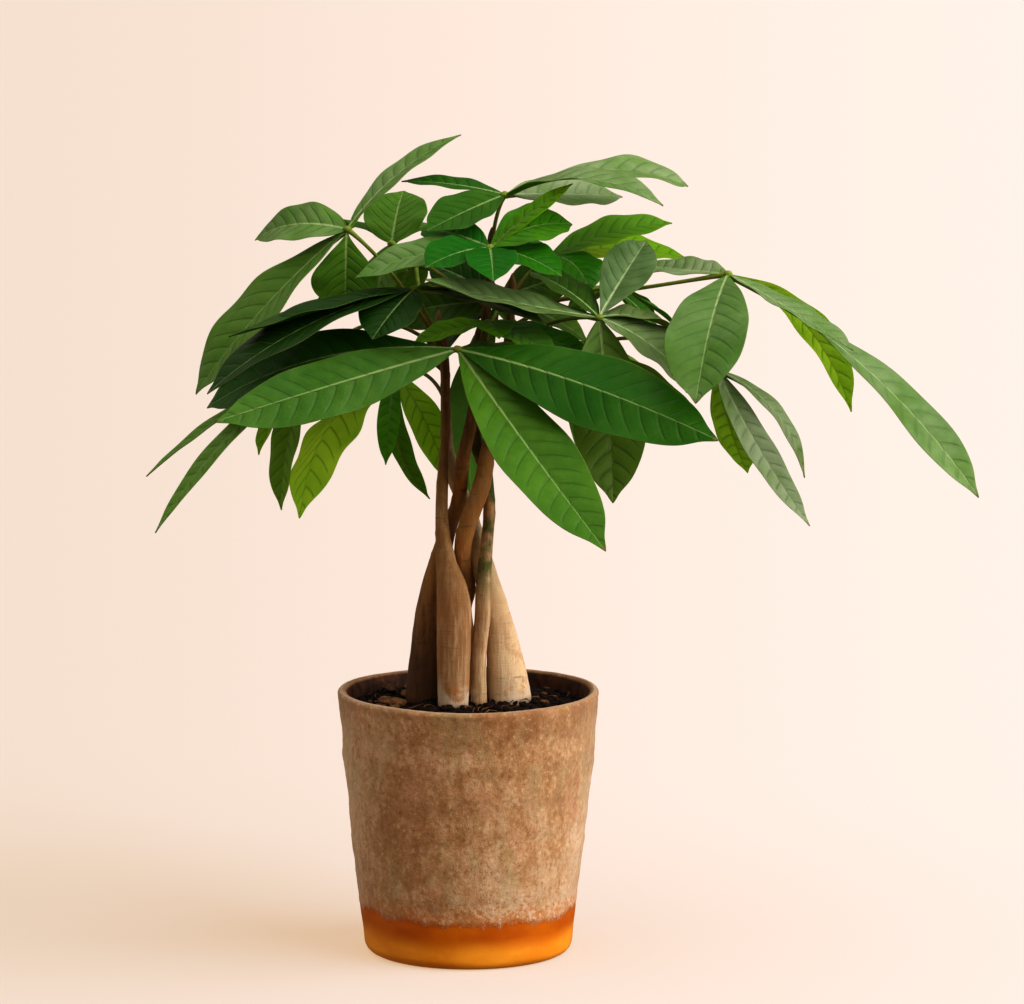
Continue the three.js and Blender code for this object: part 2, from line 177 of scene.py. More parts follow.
# Stem centre lines from the soil up: height, x, y, radius
STEMS = {
    "stem_front_left": [
        (136, -8.2, -13, 7.8), (150, -8, -13, 8.6), (165, -7.8, -12.5, 9.1), (190, -7.4, -11, 9.3),
        (203, -8.8, -9.8, 8.1), (213, -11.3, -8.5, 5.9), (228, -13.3, -6, 4.1),
        (242, -14.1, -3.5, 3.4), (256, -13.9, -0.5, 3.1), (270, -13.2, 2.5, 2.5), (285, -12, 2.5, 2.2),
        (305, -11.6, -0.5, 2), (320, -11.8, -3, 2), (334, -13, -3, 1.9),
    ],
    "stem_left": [
        (136, -23.5, 9, 10.3), (155, -23, 8.5, 9.5), (170, -22, 8, 8.7), (185, -21.1, 6.5, 7.8),
        (199, -18.9, 6, 6.8), (213, -15.7, 6.5, 5.8), (222, -13.4, 6.5, 4.9), (232, -10.5, 6, 4.3),
        (244, -6, 3.3, 3.9), (256, -3.8, -1.2, 3.7), (268, -3, -6, 3.7), (290, 1.5, -10, 3.1),
        (310, 4.5, -12, 2.6), (335, 6, -12, 2),
    ],
    "stem_back": [
        (136, -6, 23, 9.3), (168, -4.2, 16.4, 7.8), (187, -4.6, 11.5, 6.6), (198, -1.8, 8.4, 5.9),
        (206, -2.6, 4.6, 5.2), (214, -3, -0.3, 4.5), (228, -2.2, -5, 4.7), (242, 1.9, -7.5, 4.8),
        (256, 7, -7, 4.8), (265, 9, -4, 4.4), (275, 10.6, 0.5, 4), (290, 14, 4, 3.4),
        (310, 18, 6, 2.8), (335, 22, 8, 2.4), (360, 24, 10, 2),
    ],
    "stem_middle": [
        (136, 5.8, -6, 4.4), (165, 5.8, -6.8, 4.3), (185, 8, -8, 4.3), (199, 8.3, -8, 4.2),
        (213, 9.1, -6.6, 3.7), (228, 10.5, -3, 3.2), (242, 11.5, 0.5, 3.2), (256, 10.5, 4, 3.3),
        (265, 9, 6, 3.4), (275, 5, 7, 3.4), (290, 3, 5, 3.2), (320, 6, 8, 2.8), (350, 10, 10, 2.4),
        (385, 13, 10, 2),
    ],
    "stem_right": [
        (136, 22.4, 5, 11.6), (155, 20.2, 5, 10.4), (171, 17.9, 5, 8.7), (192, 13.6, 3.6, 7.1),
        (203, 10.4, 4, 6.4), (213, 7.4, 4.9, 6.1), (228, 3.3, 7, 5.2), (242, 0, 11, 4.4),
        (250, -4, 11.8, 4.3), (262, -8.5, 11, 4.1), (275, -11.3, 12, 3.5), (290, -12, 15, 2.9),
        (318, -13, 20, 2.2), (339, -16, 22, 1.8),
    ],
}
# How pale (partly painted light and shade: darker on the shaded left, paler on the lit right), how green
# and how rusty the braided part of each stem is, from 0 to 1
BARK = {
    "stem_front_left": (0.51, 0.15, 0.2),
    "stem_left": (0.26, 0.1, 0.4),
    "stem_back": (0.52, 0.12, 1.0),
    "stem_middle": (0.66, 1.0, 0.1),
    "stem_right": (1.0, 0.35, 0.15),
}

# Leaves seen in the photo: stem, height where the stalk leaves, point it bends toward, hub, colour slot,
# and for each leaflet its tip, width and arch, then where they aren't the usual ones its roll, twist and
# fold in degrees, and how far towards the tip it is widest
LEAVES = {
    "leaf_front": ("stem_left", 318, (-2, -30, 334), (-5, -48, 336), "leaf_green", [
        (-132, -85, 302, 36, 2, -50, 0, -6), (72, -150, 244, 42, -2, 22),
        (131, -112, 296, 45, 9.5, 48, 0, -6, 1.1), (-140, -14, 300, 46, 15, -34, 0, 10, 1.5),
        (52, 2, 326, 30, 2),
    ]),
    "leaf_middle_right": ("stem_back", 332, (45, -12, 350), (70, -40, 352), "leaf_dark", [
        (-22, -64, 375, 31, -2, -16), (96, 6, 388, 28, 2, 25, 0, 10, 1.3),
        (122, -6, 330, 32, 8, 10), (122, -46, 312, 38, 6, 20), (77, -78, 258, 41, 4),
        (33, -10, 373, 30, 3), (63, -30, 272, 22, 4),
    ]),
    "leaf_right": ("stem_back", 352, (80, 6, 360), (139, -30, 374), "leaf_green", [
        (119, -116, 316, 44, 9, 0, 0, 10, 1.2), (203, -78, 339, 28, 1, -4),
        (207, 0, 296, 31, 15, -14), (269, -85, 262, 29, 11, -20, 58, 10, 1.5),
        (93, 32, 372, 27, 0, -14),
    ]),
    "leaf_low_right": ("stem_back", 314, (98, 12, 354), (134, -8, 320), "leaf_green", [
        (181, -72, 245, 18, -4.5, 12, 0, 10, 0.8), (181, -20, 263, 15, 11, 14),
        (153, 40, 257, 22, -4), (120, 66, 298, 26, 6),
    ]),
    "leaf_left": ("stem_right", 328, (-40, 16, 374), (-65, 10, 394), "leaf_green", [
        (-116, 40, 385, 28, 8, -42, 0, 10, 0.75), (-4, 45, 442, 20, 6, 6),
        (-147, 4, 305, 48, 5, -22, 0, 10, 1.2), (-66, 2, 352, 37, 2, 0, 0, 10, 1.6),
    ]),
    "leaf_top": ("stem_middle", 380, (14, 8, 402), (20, 5, 413), "leaf_green", [
        (-36, 30, 418, 17, 2, -15), (119, 22, 416, 34, 12, 16, 0, 10, 2.4),
        (104, -35, 411, 30, 12, 8), (-22, -22, 396, 30, 1, -25), (84, 46, 408, 31, 1, 26),
    ]),
    "leaf_centre": ("stem_middle", 366, (12, -10, 386), (12, -30, 388), "leaf_bright", [
        (-22, -56, 380, 30, 3, -20), (14, -75, 375, 28, 3), (50, -50, 375, 30, 3, 15),
        (56, -16, 421, 10, 2, 40), (-60, -22, 371, 27, 5, -28), (-25, 6, 394, 24, 3, -28),
        (56, -16, 399, 33, 6, 30),
    ]),
    "leaf_upper_right": ("stem_back", 358, (34, 22, 372), (43, 35, 376), "leaf_bright", [
        (111, 42, 394, 29, 4, 22), (122, 74, 370, 34, 6, 20), (66, 8, 360, 34, 7),
        (8, 76, 378, 24, 5),
    ]),
    "leaf_middle_left": ("stem_front_left", 331, (-21, -16, 348), (-28, -28, 366), "leaf_dark", [
        (-127, -34, 341, 30, 1), (-138, -48, 312, 42, 9, -14), (-50, -56, 342, 36, 2, -10),
        (42, -50, 349, 26, 4, 10), (5, -46, 363, 22, 3),
    ]),
    "leaf_upper_left": ("stem_middle", 352, (-24, 30, 374), (-42, 50, 382), "leaf_green", [
        (-36, 80, 408, 36, 3, 0, 0, 10, 0.75), (-50, 42, 336, 32, 4),
        (-66, 112, 384, 32, 6), (-8, 104, 382, 28, 6),
    ]),
    "leaf_low_left": ("stem_front_left", 327, (-50, 14, 362), (-82, 2, 322), "leaf_green", [
        (-173, -15, 263, 15, 4, -4), (-166, -52, 238, 13, 9, -14), (-114, 18, 270, 22, 5),
        (-100, -24, 246, 26, 6, 20),
    ]),
    "leaf_hanging": ("stem_right", 300, (-22, 44, 318), (-41, 60, 310), "leaf_bright", [
        (-95, 96, 223, 53, -16, 180), (-45, 22, 264, 13, 3), (-22, 84, 236, 16, -12),
        (-12, 50, 252, 21, 8, 45),
    ]),
    "leaf_young": ("stem_left", 330, (8, -16, 342), (11, -22, 347), "leaf_bright", [
        (-29, -27, 336, 20, 2, -20), (17, -50, 342, 22, 3), (45, -50, 331, 26, 3, 10),
        (68, -30, 329, 23, 2, 20),
    ]),
    "leaf_inner": ("stem_middle", 336, (16, 22, 346), (17, 30, 353), "leaf_dark", [
        (-14, 40, 327, 28, 4, -30), (66, 42, 328, 28, 4, 26), (-22, 40, 372, 28, 4, -50),
        (56, 46, 364, 28, 4, 50), (1, 44, 242, 34, 8), (-42, 50, 342, 30, 4, -60),
        (-32, 76, 303, 26, 4, -50),
    ]),
}
# The look of single leaflets, by their place in the rows above: how light, partly painted light and shade
# (below 0 in deep shade), how much painted sheen they carry and how much sunlight shows through them, each
# up to 1; the others get theirs by rule
LOOKS = {
    "leaf_front": {0: (0.3, 0.12, 0), 1: (0.42, 0, 0), 2: (0.1, 0, 0), 3: (-0.4, 0, 0)},
    "leaf_middle_right": {
        0: (0.6, 0.35, 0), 1: (0.3, 0.75, 0), 2: (0.9, 0.35, 0), 3: (0.8, 0.4, 0), 4: (1, 0.1, 0.6),
        6: (0.8, 1, 0),
    },
    "leaf_right": {
        0: (0.45, 0.35, 0), 1: (0.6, 0.6, 0), 2: (1, 0.1, 0.9), 3: (0.55, 0.55, 0), 4: (0.8, 0.75, 0),
    },
    "leaf_low_right": {0: (0.9, 1, 0), 1: (0.8, 0.8, 0), 2: (0.9, 0, 0.8)},
    "leaf_left": {0: (0.5, 0.35, 0), 1: (0.6, 0.4, 0), 2: (0.55, 0.1, 0.05), 3: (0.5, 0, 0.1)},
    "leaf_top": {
        0: (0.1, 0, 0), 1: (1, 1, 0.6), 2: (0.6, 0.6, 0), 3: (0.2, 0, 0.2), 4: (1, 1, 0.2),
    },
    "leaf_centre": {
        0: (0, 0, 0), 1: (0, 0, 0), 2: (0.2, 0, 0.1), 3: (1, 0, 1), 4: (0.9, 0.6, 0.4), 5: (0, 0.1, 0),
    },
    "leaf_upper_right": {0: (0.9, 0.1, 0.8), 1: (0.9, 0, 1)},
    "leaf_middle_left": {0: (0.2, 0.05, 0), 1: (-0.6, 0, 0), 2: (-0.3, 0, 0)},
    "leaf_low_left": {
        0: (0.8, 0.1, 0.2), 1: (0.9, 0.15, 0.2), 2: (0.9, 0.1, 0.7), 3: (0.9, 0, 0.6),
    },
    "leaf_hanging": {0: (1, 0.1, 1), 1: (0.3, 0, 0.4), 2: (0.9, 0.3, 0), 3: (0.7, 0, 0.8)},
    "leaf_young": {0: (1, 0, 0.6), 1: (1, 0, 0.4), 2: (0.7, 0.1, 0), 3: (0.5, 0.1, 0)},
}

# Leaves behind: stem, height, stalk point, hub, heading in degrees, reach, and droop of the tips
BACK_LEAVES = {
    "leaf_back_left": ("stem_right", 316, (-46, 42, 340), (-80, 70, 323), 138, 70, 36),
    "leaf_back": ("stem_right", 330, (-22, 66, 312), (-30, 104, 364), 100, 84, 46),
    "leaf_back_right": ("stem_back", 318, (40, 56, 344), (50, 96, 322), 66, 88, 48),
    "leaf_right_back": ("stem_back", 340, (66, 26, 366), (78, 76, 354), 62, 52, 34),
}
# Their leaflets: turn from the heading, share of the reach, and width and arch as shares of the length
FAN_TURNS = (-104, -54, 0, 54, 104)
FAN_LENGTHS = (0.68, 0.9, 1, 0.9, 0.68)
FAN_WIDTH = 0.34
FAN_ARCH = 0.12


def seeded(seed):
    """Repeatable random numbers from 0 to 1, the same draws as in the part's source."""
    state = seed
    while True:
        state = (state * 1664525 + 1013904223) % 4294967296
        yield state / 4294967296


def unit(v):
    return v / np.linalg.norm(v, axis=-1, keepdims=True)


def turned(v, axis, angle):
    """v turned about a unit axis, row by row where the axis and angle are rows."""
    cos, sin = np.cos(angle), np.sin(angle)
    along = np.sum(v * axis, axis=-1, keepdims=True)
    return v * cos + np.cross(axis, v) * sin + axis * along * (1 - cos)


def bezier(a, b, c, t):
    return a * (1 - t) ** 2 + b * 2 * t * (1 - t) + c * t * t


def smooth(low, high, x):
    t = np.clip((x - low) / (high - low), 0, 1)
    return t * t * (3 - 2 * t)


def hump(x, width):
    """1 where x is zero, falling smoothly to nothing over about twice that width."""
    return np.exp(-((x / width) ** 2))


def round_turn(count):
    """Angles spread evenly over one full turn."""
    return np.linspace(0, math.tau, count, endpoint=False)


def fractal(point, size, depth):
    """Fractal noise from about -1 to 1 at a point, with lumps of about that size."""
    return noise.fractal(Vector(point) / size, NOISE_FADE, NOISE_FINER, depth)


def roughen(points, size, depth=3):
    return np.array([fractal(point, size, depth) for point in points])


def placed(name, data):
    """A new object in the scene."""
    made = bpy.data.objects.new(name, data)
    bpy.context.scene.collection.objects.link(made)
    return made


class Skin:
    """Collects points, faces and values at the points, and makes them into one piece."""

    def __init__(self):
        self.points, self.faces, self.values, self.count = [], [], {}, 0

    def add(self, points, faces, **values):
        points = np.asarray(points, float).reshape(-1, 3)
        self.points.append(points)
        for group in faces:
            self.faces.extend((np.asarray(group) + self.count).tolist())
        for name, value in values.items():
            rows = np.asarray(value, float).reshape(-1, 3)
            self.values.setdefault(name, []).append(np.broadcast_to(rows, points.shape))
        self.count += len(points)

    def piece(self, name, material, slot, node=None):
        mesh = bpy.data.meshes.new(name)
        mesh.from_pydata((np.concatenate(self.points) * MM).tolist(), [], self.faces)
        for key, rows in self.values.items():
            layer = mesh.attributes.new(key, "FLOAT_VECTOR", "POINT")
            layer.data.foreach_set("vector", np.concatenate(rows).ravel())
        mesh.polygons.foreach_set("use_smooth", [True] * len(mesh.polygons))
        mesh.materials.append(material)
        mesh.update()
        made = placed(name, mesh)
        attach(made, "root")
        if node:
            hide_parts(node)


def grid(rows, columns, wrap=False):
    """Faces between rows of points; wrap also joins the last column to the first."""
    i = np.arange(rows - 1)[:, None]
    j = np.arange(columns if wrap else columns - 1)[None, :]
    a = i * columns + j
    b = i * columns + (j + 1) % columns
    return np.stack([a, b, b + columns, a + columns], -1).reshape(-1, 4)


def strip(a, b):
    """Faces between two rows of point numbers."""
    return np.stack([a[:-1], b[:-1], b[1:], a[1:]], -1)


def capped(rows, sides):
    """Faces of a closed round body: its rings of points, and a flat cap at each end."""
    first = np.arange(sides)
    return [grid(rows, sides, wrap=True), [first[::-1]], [first + (rows - 1) * sides]]


def slab(skin, sheets, **values):
    """A closed body from two grids of points, its upper and lower sheets."""
    rows, columns = sheets.shape[1:3]
    size = rows * columns
    upper = np.arange(size).reshape(rows, columns)
    lower = upper + size
    sheet = grid(rows, columns)
    faces = [
        sheet,
        sheet[:, ::-1] + size,
        strip(upper[:, -1], lower[:, -1]),
        strip(lower[:, 0], upper[:, 0]),
        strip(lower[-1], upper[-1]),
        strip(upper[0], lower[0]),
    ]
    skin.add(sheets, faces, **values)


def rings_along(points, sides):
    """Unit vectors round a line of points: one ring of them for each point."""
    ahead = np.vstack([points[1:], points[-1:]])
    behind = np.vstack([points[:1], points[:-1]])
    along = unit(ahead - behind)
    side = np.array([1.0, 0, 0])
    turn = round_turn(sides)[:, None]
    rings = []
    for direction in along:
        side = unit(side - direction * side.dot(direction))
        up = np.cross(direction, side)
        rings.append(side * np.cos(turn) + up * np.sin(turn))
    return np.array(rings)


def tube(skin, points, radii, sides, **values):
    """A closed round rod; radii are one for each point, or one for each point and side."""
    radii = np.asarray(radii, float)
    if radii.ndim == 1:
        radii = radii[:, None]
    rings = points[:, None, :] + rings_along(points, sides) * radii[:, :, None]
    spread = {k: np.repeat(np.broadcast_to(v, points.shape), sides, axis=0) for k, v in values.items()}
    skin.add(rings, capped(len(points), sides), **spread)


def ball(skin, centre, radii, seed, lump=0.18, detail=(10, 7), spin=0.0, **values):
    """A lumpy closed pebble, its noise taken at a seeded place."""
    sides, rows = detail
    turn = round_turn(sides)
    rise = np.linspace(-math.pi / 2, math.pi / 2, rows + 2)[1:-1]
    spots = [(0, 0, -1)]
    for r in rise:
        spots += [(math.cos(r) * math.cos(a), math.cos(r) * math.sin(a), math.sin(r)) for a in turn]
    spots.append((0, 0, 1))
    spots = np.array(spots)
    swell = 1 + lump * roughen(spots * 0.9 + seed * 7.3, 1.0, 2)
    shaped = spots * swell[:, None] * np.asarray(radii, float)
    cos, sin = math.cos(spin), math.sin(spin)
    shaped = shaped @ np.array([[cos, sin, 0], [-sin, cos, 0], [0, 0, 1]])
    last = len(spots) - 1
    lower = [(0, 1 + (j + 1) % sides, 1 + j) for j in range(sides)]
    top = last - sides
    upper = [(last, top + j, top + (j + 1) % sides) for j in range(sides)]
    faces = [grid(rows, sides, wrap=True) + 1, lower, upper]
    skin.add(shaped + np.asarray(centre, float), faces, **values)


# Leaves


def fullness(t):
    """Share of the full width along a leaflet, drawn in before its pointed tip."""
    pinch = 1 - TIP_PINCH * hump(t - TIP_AT, TIP_SPAN)
    return pinch * t * (1 - t) ** BLADE_TAPER / BLADE_FULLEST


def blade(skin, hub, row, phase, look):
    """One leaflet: arched midrib, folded halves, a wavy margin and quilting between its side veins."""
    x, y, z, width, arch = row[:5]
    roll, twist, fold, late = (*row[5:], *BLADE_USUAL[len(row) - 5 :])
    fold = math.radians(fold)
    tip = np.array([x, y, z], float)
    chord = unit(tip - hub)
    upward = np.array([*(unit(chord[:2]) * BLADE_LEAN), 1.0])
    across = turned(unit(np.cross(chord, upward)), chord, math.radians(roll))
    face = np.cross(across, chord)
    middle = (hub + tip) / 2 + face * 2 * arch
    length = np.linalg.norm(tip - hub)

    t = np.linspace(0, 1, BLADE_STEPS + 1)[:, None]
    ahead = 1 - t
    centre = bezier(hub, middle, tip, t)
    along = unit((middle - hub) * ahead + (tip - middle) * t)
    side = turned(across, along, np.radians(twist * t))
    normal = np.cross(side, along)
    least = BLADE_BASE_HALF + (BLADE_TIP_HALF - BLADE_BASE_HALF) * t
    half = np.maximum(least, width / 2 * fullness(t ** late))

    u = np.linspace(-1, 1, BLADE_COLUMNS)
    core = np.sign(u) * np.abs(u) ** BLADE_CROWD * BLADE_MARGIN
    s = np.concatenate([[-1], core, [1]])[None, :]
    edge = np.abs(s)
    broad = half / (width / 2)
    off = half * s
    away = np.abs(off)
    bend = edge * (1 + BLADE_CUP) - BLADE_CUP * s * s
    lift = half * math.sin(fold) * bend
    shift = np.where(s < 0, RIPPLE_SHIFT, 0.0)
    waves = np.sin(t * (RIPPLE_WAVES + 3 * look[0]) + phase + shift)
    ripple = RIPPLE * width * broad * edge ** 2.2 * waves
    pairs = VEIN_PAIRS + length / VEIN_SPACING
    risen = (VEIN_SLANT * away + VEIN_CURVE * away * edge) / length
    vein = pairs * (t - risen) + np.where(s < 0, VEIN_STAGGER, 0.0)
    quilt = QUILT * length / pairs * broad * (1 - hump(away, 1.6)) * (1 - s ** 6)
    height = lift + ripple - quilt * np.cos(math.tau * vein)
    groove = GROOVE * hump(off, 0.6) * ahead
    keel = (KEEL_TIP + KEEL_BASE * ahead ** 5 + 0.5 * ahead) * hump(off, 0.5 + 0.5 * ahead)
    thick = BLADE_THICK * (1 - BLADE_THIN * s * s)

    def sheet(level):
        return (centre[:, None, :] + side[:, None, :] * (off * math.cos(fold))[:, :, None]
                + normal[:, None, :] * level[:, :, None])

    sheets = np.stack([sheet(height + thick / 2 - groove), sheet(height - thick / 2 - keel)])
    kind = np.array([UPPER, LOWER])[:, None, None] * np.ones(off.shape)
    place = np.stack(np.broadcast_arrays(t, s, 0 * kind), -1)
    veins = np.stack(np.broadcast_arrays(off, vein, kind), -1)
    slab(skin, sheets, leaf_place=place, leaf_vein=veins, leaf_look=look)


def stem_line(name):
    """Rows of a stem's centre line, carried on below the soil's surface."""
    rows = STEMS[name]
    height, x, y, radius = rows[0]
    start = (STEM_START, x * 1.05, y * 1.05, radius * 0.9)
    return np.array([start, (height - 14, x, y, radius), *rows], float)


def stem_point(name, height):
    rows = stem_line(name)
    x, y = (np.interp(height, rows[:, 0], rows[:, column]) for column in (1, 2))
    return np.array([x, y, height])


def leaf(name, stem, at, via, hub, slot, rows, seed, materials):
    """One compound leaf: its stalk, the hub and its leaflets."""
    random = seeded(seed)
    skin = Skin()
    hub = np.array(hub, float)
    t = np.linspace(0, 1, PETIOLE_STEPS + 1)[:, None]
    line = bezier(stem_point(stem, at), np.array(via, float), hub, t)
    radii = PETIOLE_R * (0.68 + 0.5 * (2 * t[:, 0] - 1) ** 6)
    place = np.pad(t, ((0, 0), (0, 2)))
    woody = {"leaf_vein": (9, 0.5, STALK), "leaf_look": (0.5, 0, 0)}
    tube(skin, line, radii, PETIOLE_SIDES, leaf_place=place, **woody)
    for i, row in enumerate(rows):
        phase = next(random) * 6
        look = LOOKS.get(name, {}).get(i, ((phase * 2.7) % 1, 0, 0))
        blade(skin, hub, row, phase, look)
    ball(skin, hub, (HUB_R, HUB_R, HUB_R * 0.8), seed, leaf_place=(1, 0, 0), **woody)
    skin.piece(name + "_blades", materials[slot], slot, name)


def fan(hub, heading, reach, drop, seed):
    """Leaflet rows of a leaf by rule: a fan round its heading, drooping to the tips."""
    random = seeded(seed)
    rows = []
    for turn, share in zip(FAN_TURNS, FAN_LENGTHS):
        length = reach * share * (0.94 + 0.12 * next(random))
        angle = math.radians(heading + turn)
        fall = drop * (0.8 + 0.3 * next(random)) * share
        tip = (hub[0] + length * math.cos(angle), hub[1] + length * math.sin(angle), hub[2] - fall)
        rows.append((*tip, length * FAN_WIDTH, length * FAN_ARCH))
    return rows


def leaves(materials):
    for i, (name, (stem, at, via, hub, slot, rows)) in enumerate(LEAVES.items()):
        leaf(name, stem, at, via, hub, slot, rows, LEAF_SEED + i, materials)
    for i, (name, (stem, at, via, hub, heading, reach, drop)) in enumerate(BACK_LEAVES.items()):
        rows = fan(hub, heading, reach, drop, FAN_SEED + i)
        leaf(name, stem, at, via, hub, "leaf_green", rows, BACK_LEAF_SEED + i, materials)


# Stems


def catmull(rows, count):
    """Rows read smoothly at that many places, spread evenly by height."""
    knots = np.vstack([2 * rows[0] - rows[1], rows, 2 * rows[-1] - rows[-2]])
    out = []
    for h in np.linspace(rows[0, 0], rows[-1, 0], count):
        i = int(np.clip(np.searchsorted(rows[:, 0], h) - 1, 0, len(rows) - 2))
        t = (h - rows[i, 0]) / (rows[i + 1, 0] - rows[i, 0])
        a, b, c, d = knots[i : i + 4]
        lower = 2 * b + (c - a) * t + (2 * a - 5 * b + 4 * c - d) * t * t
        out.append(0.5 * (lower + (3 * b - a - 3 * c + d) * t ** 3))
        out[-1][0] = h
    return np.array(out)


def stem(name, material, seed):
    """One trunk of the braid, with wrinkled bark, leaf scars higher up and a bud at its top."""
    rows = stem_line(name)
    line = catmull(rows, int((rows[-1, 0] - rows[0, 0]) / STEM_STEP))
    top = line[-1]
    bud = [(top[0] + rise, top[1], top[2], top[3] * share) for rise, share in BUD]
    line = np.vstack([line, bud])
    heights, radii = line[:, 0], line[:, 3]
    points = np.stack([line[:, 1], line[:, 2], heights], -1)
    turn = round_turn(STEM_SIDES)[None, :]
    h = heights[:, None]
    lobe = STEM_LOBE * np.sin(3 * turn + rows[2, 1] + h * 0.03)
    spots = np.broadcast_arrays(np.cos(turn) * 2.6, np.sin(turn) * 2.6, h / 34 + seed * 9.1)
    spots = np.stack(spots, -1).reshape(-1, 3)
    wrinkle = roughen(spots, 0.55, 4).reshape(-1, STEM_SIDES)
    knobs = roughen(spots * (1, 1, 3), 1.1, 2).reshape(-1, STEM_SIDES)
    thick = smooth(2.2, 9, radii)[:, None]
    scars = np.zeros_like(h)
    for i in range(SCARS):
        at = SCARS_FROM + SCAR_SPACING * i + SCAR_SHIFT * math.sin(seed * 3 + i * 2.3)
        scars = scars + hump(h - at, SCAR_WIDTH)
    r = radii[:, None] * (1 + lobe + STEM_WRINKLE * wrinkle * thick + STEM_KNOBS * knobs)
    r = r + SCAR_RISE * scars
    foot = smooth(STEM_FOOT_TOP, SOIL_TOP, heights)[:, None]
    r = r * (1 + STEM_FOOT * foot * np.maximum(0, np.sin(2 * turn + seed)))
    place = np.pad(h / 100, ((0, 0), (0, 2)))
    skin = Skin()
    tube(skin, points, r, STEM_SIDES, stem_place=place, stem_look=BARK[name])
    skin.piece(name + "_bark", material, "bark", name)


# Soil


def pot_radius(z):
    return POT_BASE_R + (POT_TOP_R - POT_BASE_R) * z / POT_HEIGHT


def soil(bed_material, chip_material):
    """Lumpy potting soil with clods, bark chips and fibres on it."""
    inner = pot_radius(SOIL_TOP) - POT_WALL - SOIL_GAP
    share = np.linspace(1, 0.01, SOIL_RINGS)[:, None]
    turn = round_turn(SOIL_SIDES)[None, :]
    x = (inner * share * np.cos(turn)).ravel()
    y = (inner * share * np.sin(turn)).ravel()
    out = np.hypot(x, y)
    flat = np.stack([x, y, np.zeros_like(x)], -1)
    mound = MOUND_EDGE + MOUND_RISE * (1 - (out / inner) ** 2)
    lumps = LUMP_RISE * roughen(flat, LUMP_SIZE) + CRUMB_RISE * roughen(flat + 50, CRUMB_SIZE)
    top = np.stack([x, y, SOIL_TOP + mound + lumps * smooth(inner, inner - 4, out)], -1)
    base_r = pot_radius(POT_FLOOR) - POT_WALL - SOIL_BASE_GAP
    base_z = np.full_like(turn, POT_FLOOR + SOIL_BASE_GAP)
    base = np.stack([base_r * np.cos(turn), base_r * np.sin(turn), base_z], -1)
    bed = Skin()
    bed.add(np.vstack([base.reshape(-1, 3), top]), capped(SOIL_RINGS + 1, SOIL_SIDES))

    def ground(px, py):
        mound = MOUND_RISE * (1 - (math.hypot(px, py) / inner) ** 2)
        return SOIL_TOP + MOUND_EDGE + mound + LUMP_RISE * fractal((px, py, 0), LUMP_SIZE, 3)

    random = seeded(SOIL_SEED)
    for i in range(CLODS):
        angle = next(random) * math.tau
        out = (inner - CLOD_MARGIN) * math.sqrt(next(random))
        size = CLOD_R + CLOD_R_MORE * next(random) ** 2
        px, py = out * math.cos(angle), out * math.sin(angle)
        centre = (px, py, ground(px, py) + size * 0.3)
        shape = (size, size * (0.7 + 0.5 * next(random)), size * 0.75)
        ball(bed, centre, shape, i, lump=0.5, detail=(9, 5), spin=angle * 3)
    bed.piece("soil_bed", bed_material, "soil", "soil")

    chips = Skin()
    for i in range(CHIPS):
        big = i < BIG_CHIPS
        angle = math.radians(CHIPS_HEADING_DEG) + (next(random) - 0.5) * (2.2 if big else 6.2)
        out = CHIPS_FROM + CHIPS_BAND * next(random)
        px, py = out * math.cos(angle), out * math.sin(angle)
        size = (BIG_CHIP_R if big else CHIP_R) * (0.7 + 0.6 * next(random))
        shape = (size, size * (0.4 + 0.25 * next(random)), size * 0.32)
        centre = (px, py, ground(px, py) + size * 0.35)
        spin = next(random) * 3.1
        ball(chips, centre, shape, CHIP_SEED + i, lump=0.35, detail=(12, 7), spin=spin)
    for _ in range(FIBRES):
        angle = next(random) * math.tau
        out = FIBRES_FROM + FIBRES_BAND * next(random)
        px, py = out * math.cos(angle), out * math.sin(angle)
        heading = next(random) * math.tau
        reach = FIBRE_REACH + FIBRE_REACH_MORE * next(random)
        bow = (next(random) - 0.5) * FIBRE_BOW
        steps = np.linspace(-0.5, 0.5, FIBRE_POINTS)[:, None]
        arch = (0.25 - steps ** 2) * 4
        run = np.array([math.cos(heading), math.sin(heading), 0.0])
        cross = np.array([-run[1], run[0], 0.0])
        line = np.array([px, py, 0.0]) + run * steps * reach + cross * bow * arch
        line[:, :2] *= np.minimum(1, (inner - 1) / np.hypot(line[:, 0], line[:, 1]))[:, None]
        line[:, 2] = [ground(*p[:2]) + 1.2 for p in line]
        line[:, 2] += FIBRE_LIFT * arch[:, 0]
        tube(chips, line, FIBRE_R * (1 - 1.6 * steps[:, 0] ** 2), 6)
    chips.piece("soil_chips", chip_material, "soil")


# Pot


def glaze_edge(turn):
    """Height of the line between the matt crust and the glazed band, round the pot."""
    return GLAZE_TOP + 1.1 * np.sin(2 * turn + 0.6) + 0.7 * np.sin(5 * turn + 2) + 0.45 * np.sin(11 * turn)


def pot_outline():
    """Radius and height of the pot's section: under it, up the wall, over the rim and down inside."""
    rim_r = POT_WALL / 2
    rim_rise = rim_r * RIM_HEIGHT
    outline = [(0, POT_RECESS)]
    outline += [(POT_BASE_R - inset, z) for inset, z in POT_FOOT]
    outline.append((pot_radius(2.4) - 0.5, 2.4))
    outline += [(pot_radius(z), z) for z in np.arange(4, POT_HEIGHT - rim_r, POT_STEP)]
    for a in np.radians(np.arange(0, 181, RIM_STEP_DEG)):
        reach = rim_r * math.cos(a)
        outline.append((POT_TOP_R - rim_r + reach, POT_HEIGHT - rim_rise + rim_rise * math.sin(a)))
    outline += [(pot_radius(z) - POT_WALL, z) for z in POT_INSIDE]
    outline += [(pot_radius(POT_FLOOR) - POT_WALL - POT_CORNER, POT_FLOOR), (0, POT_FLOOR)]
    return np.array(outline)


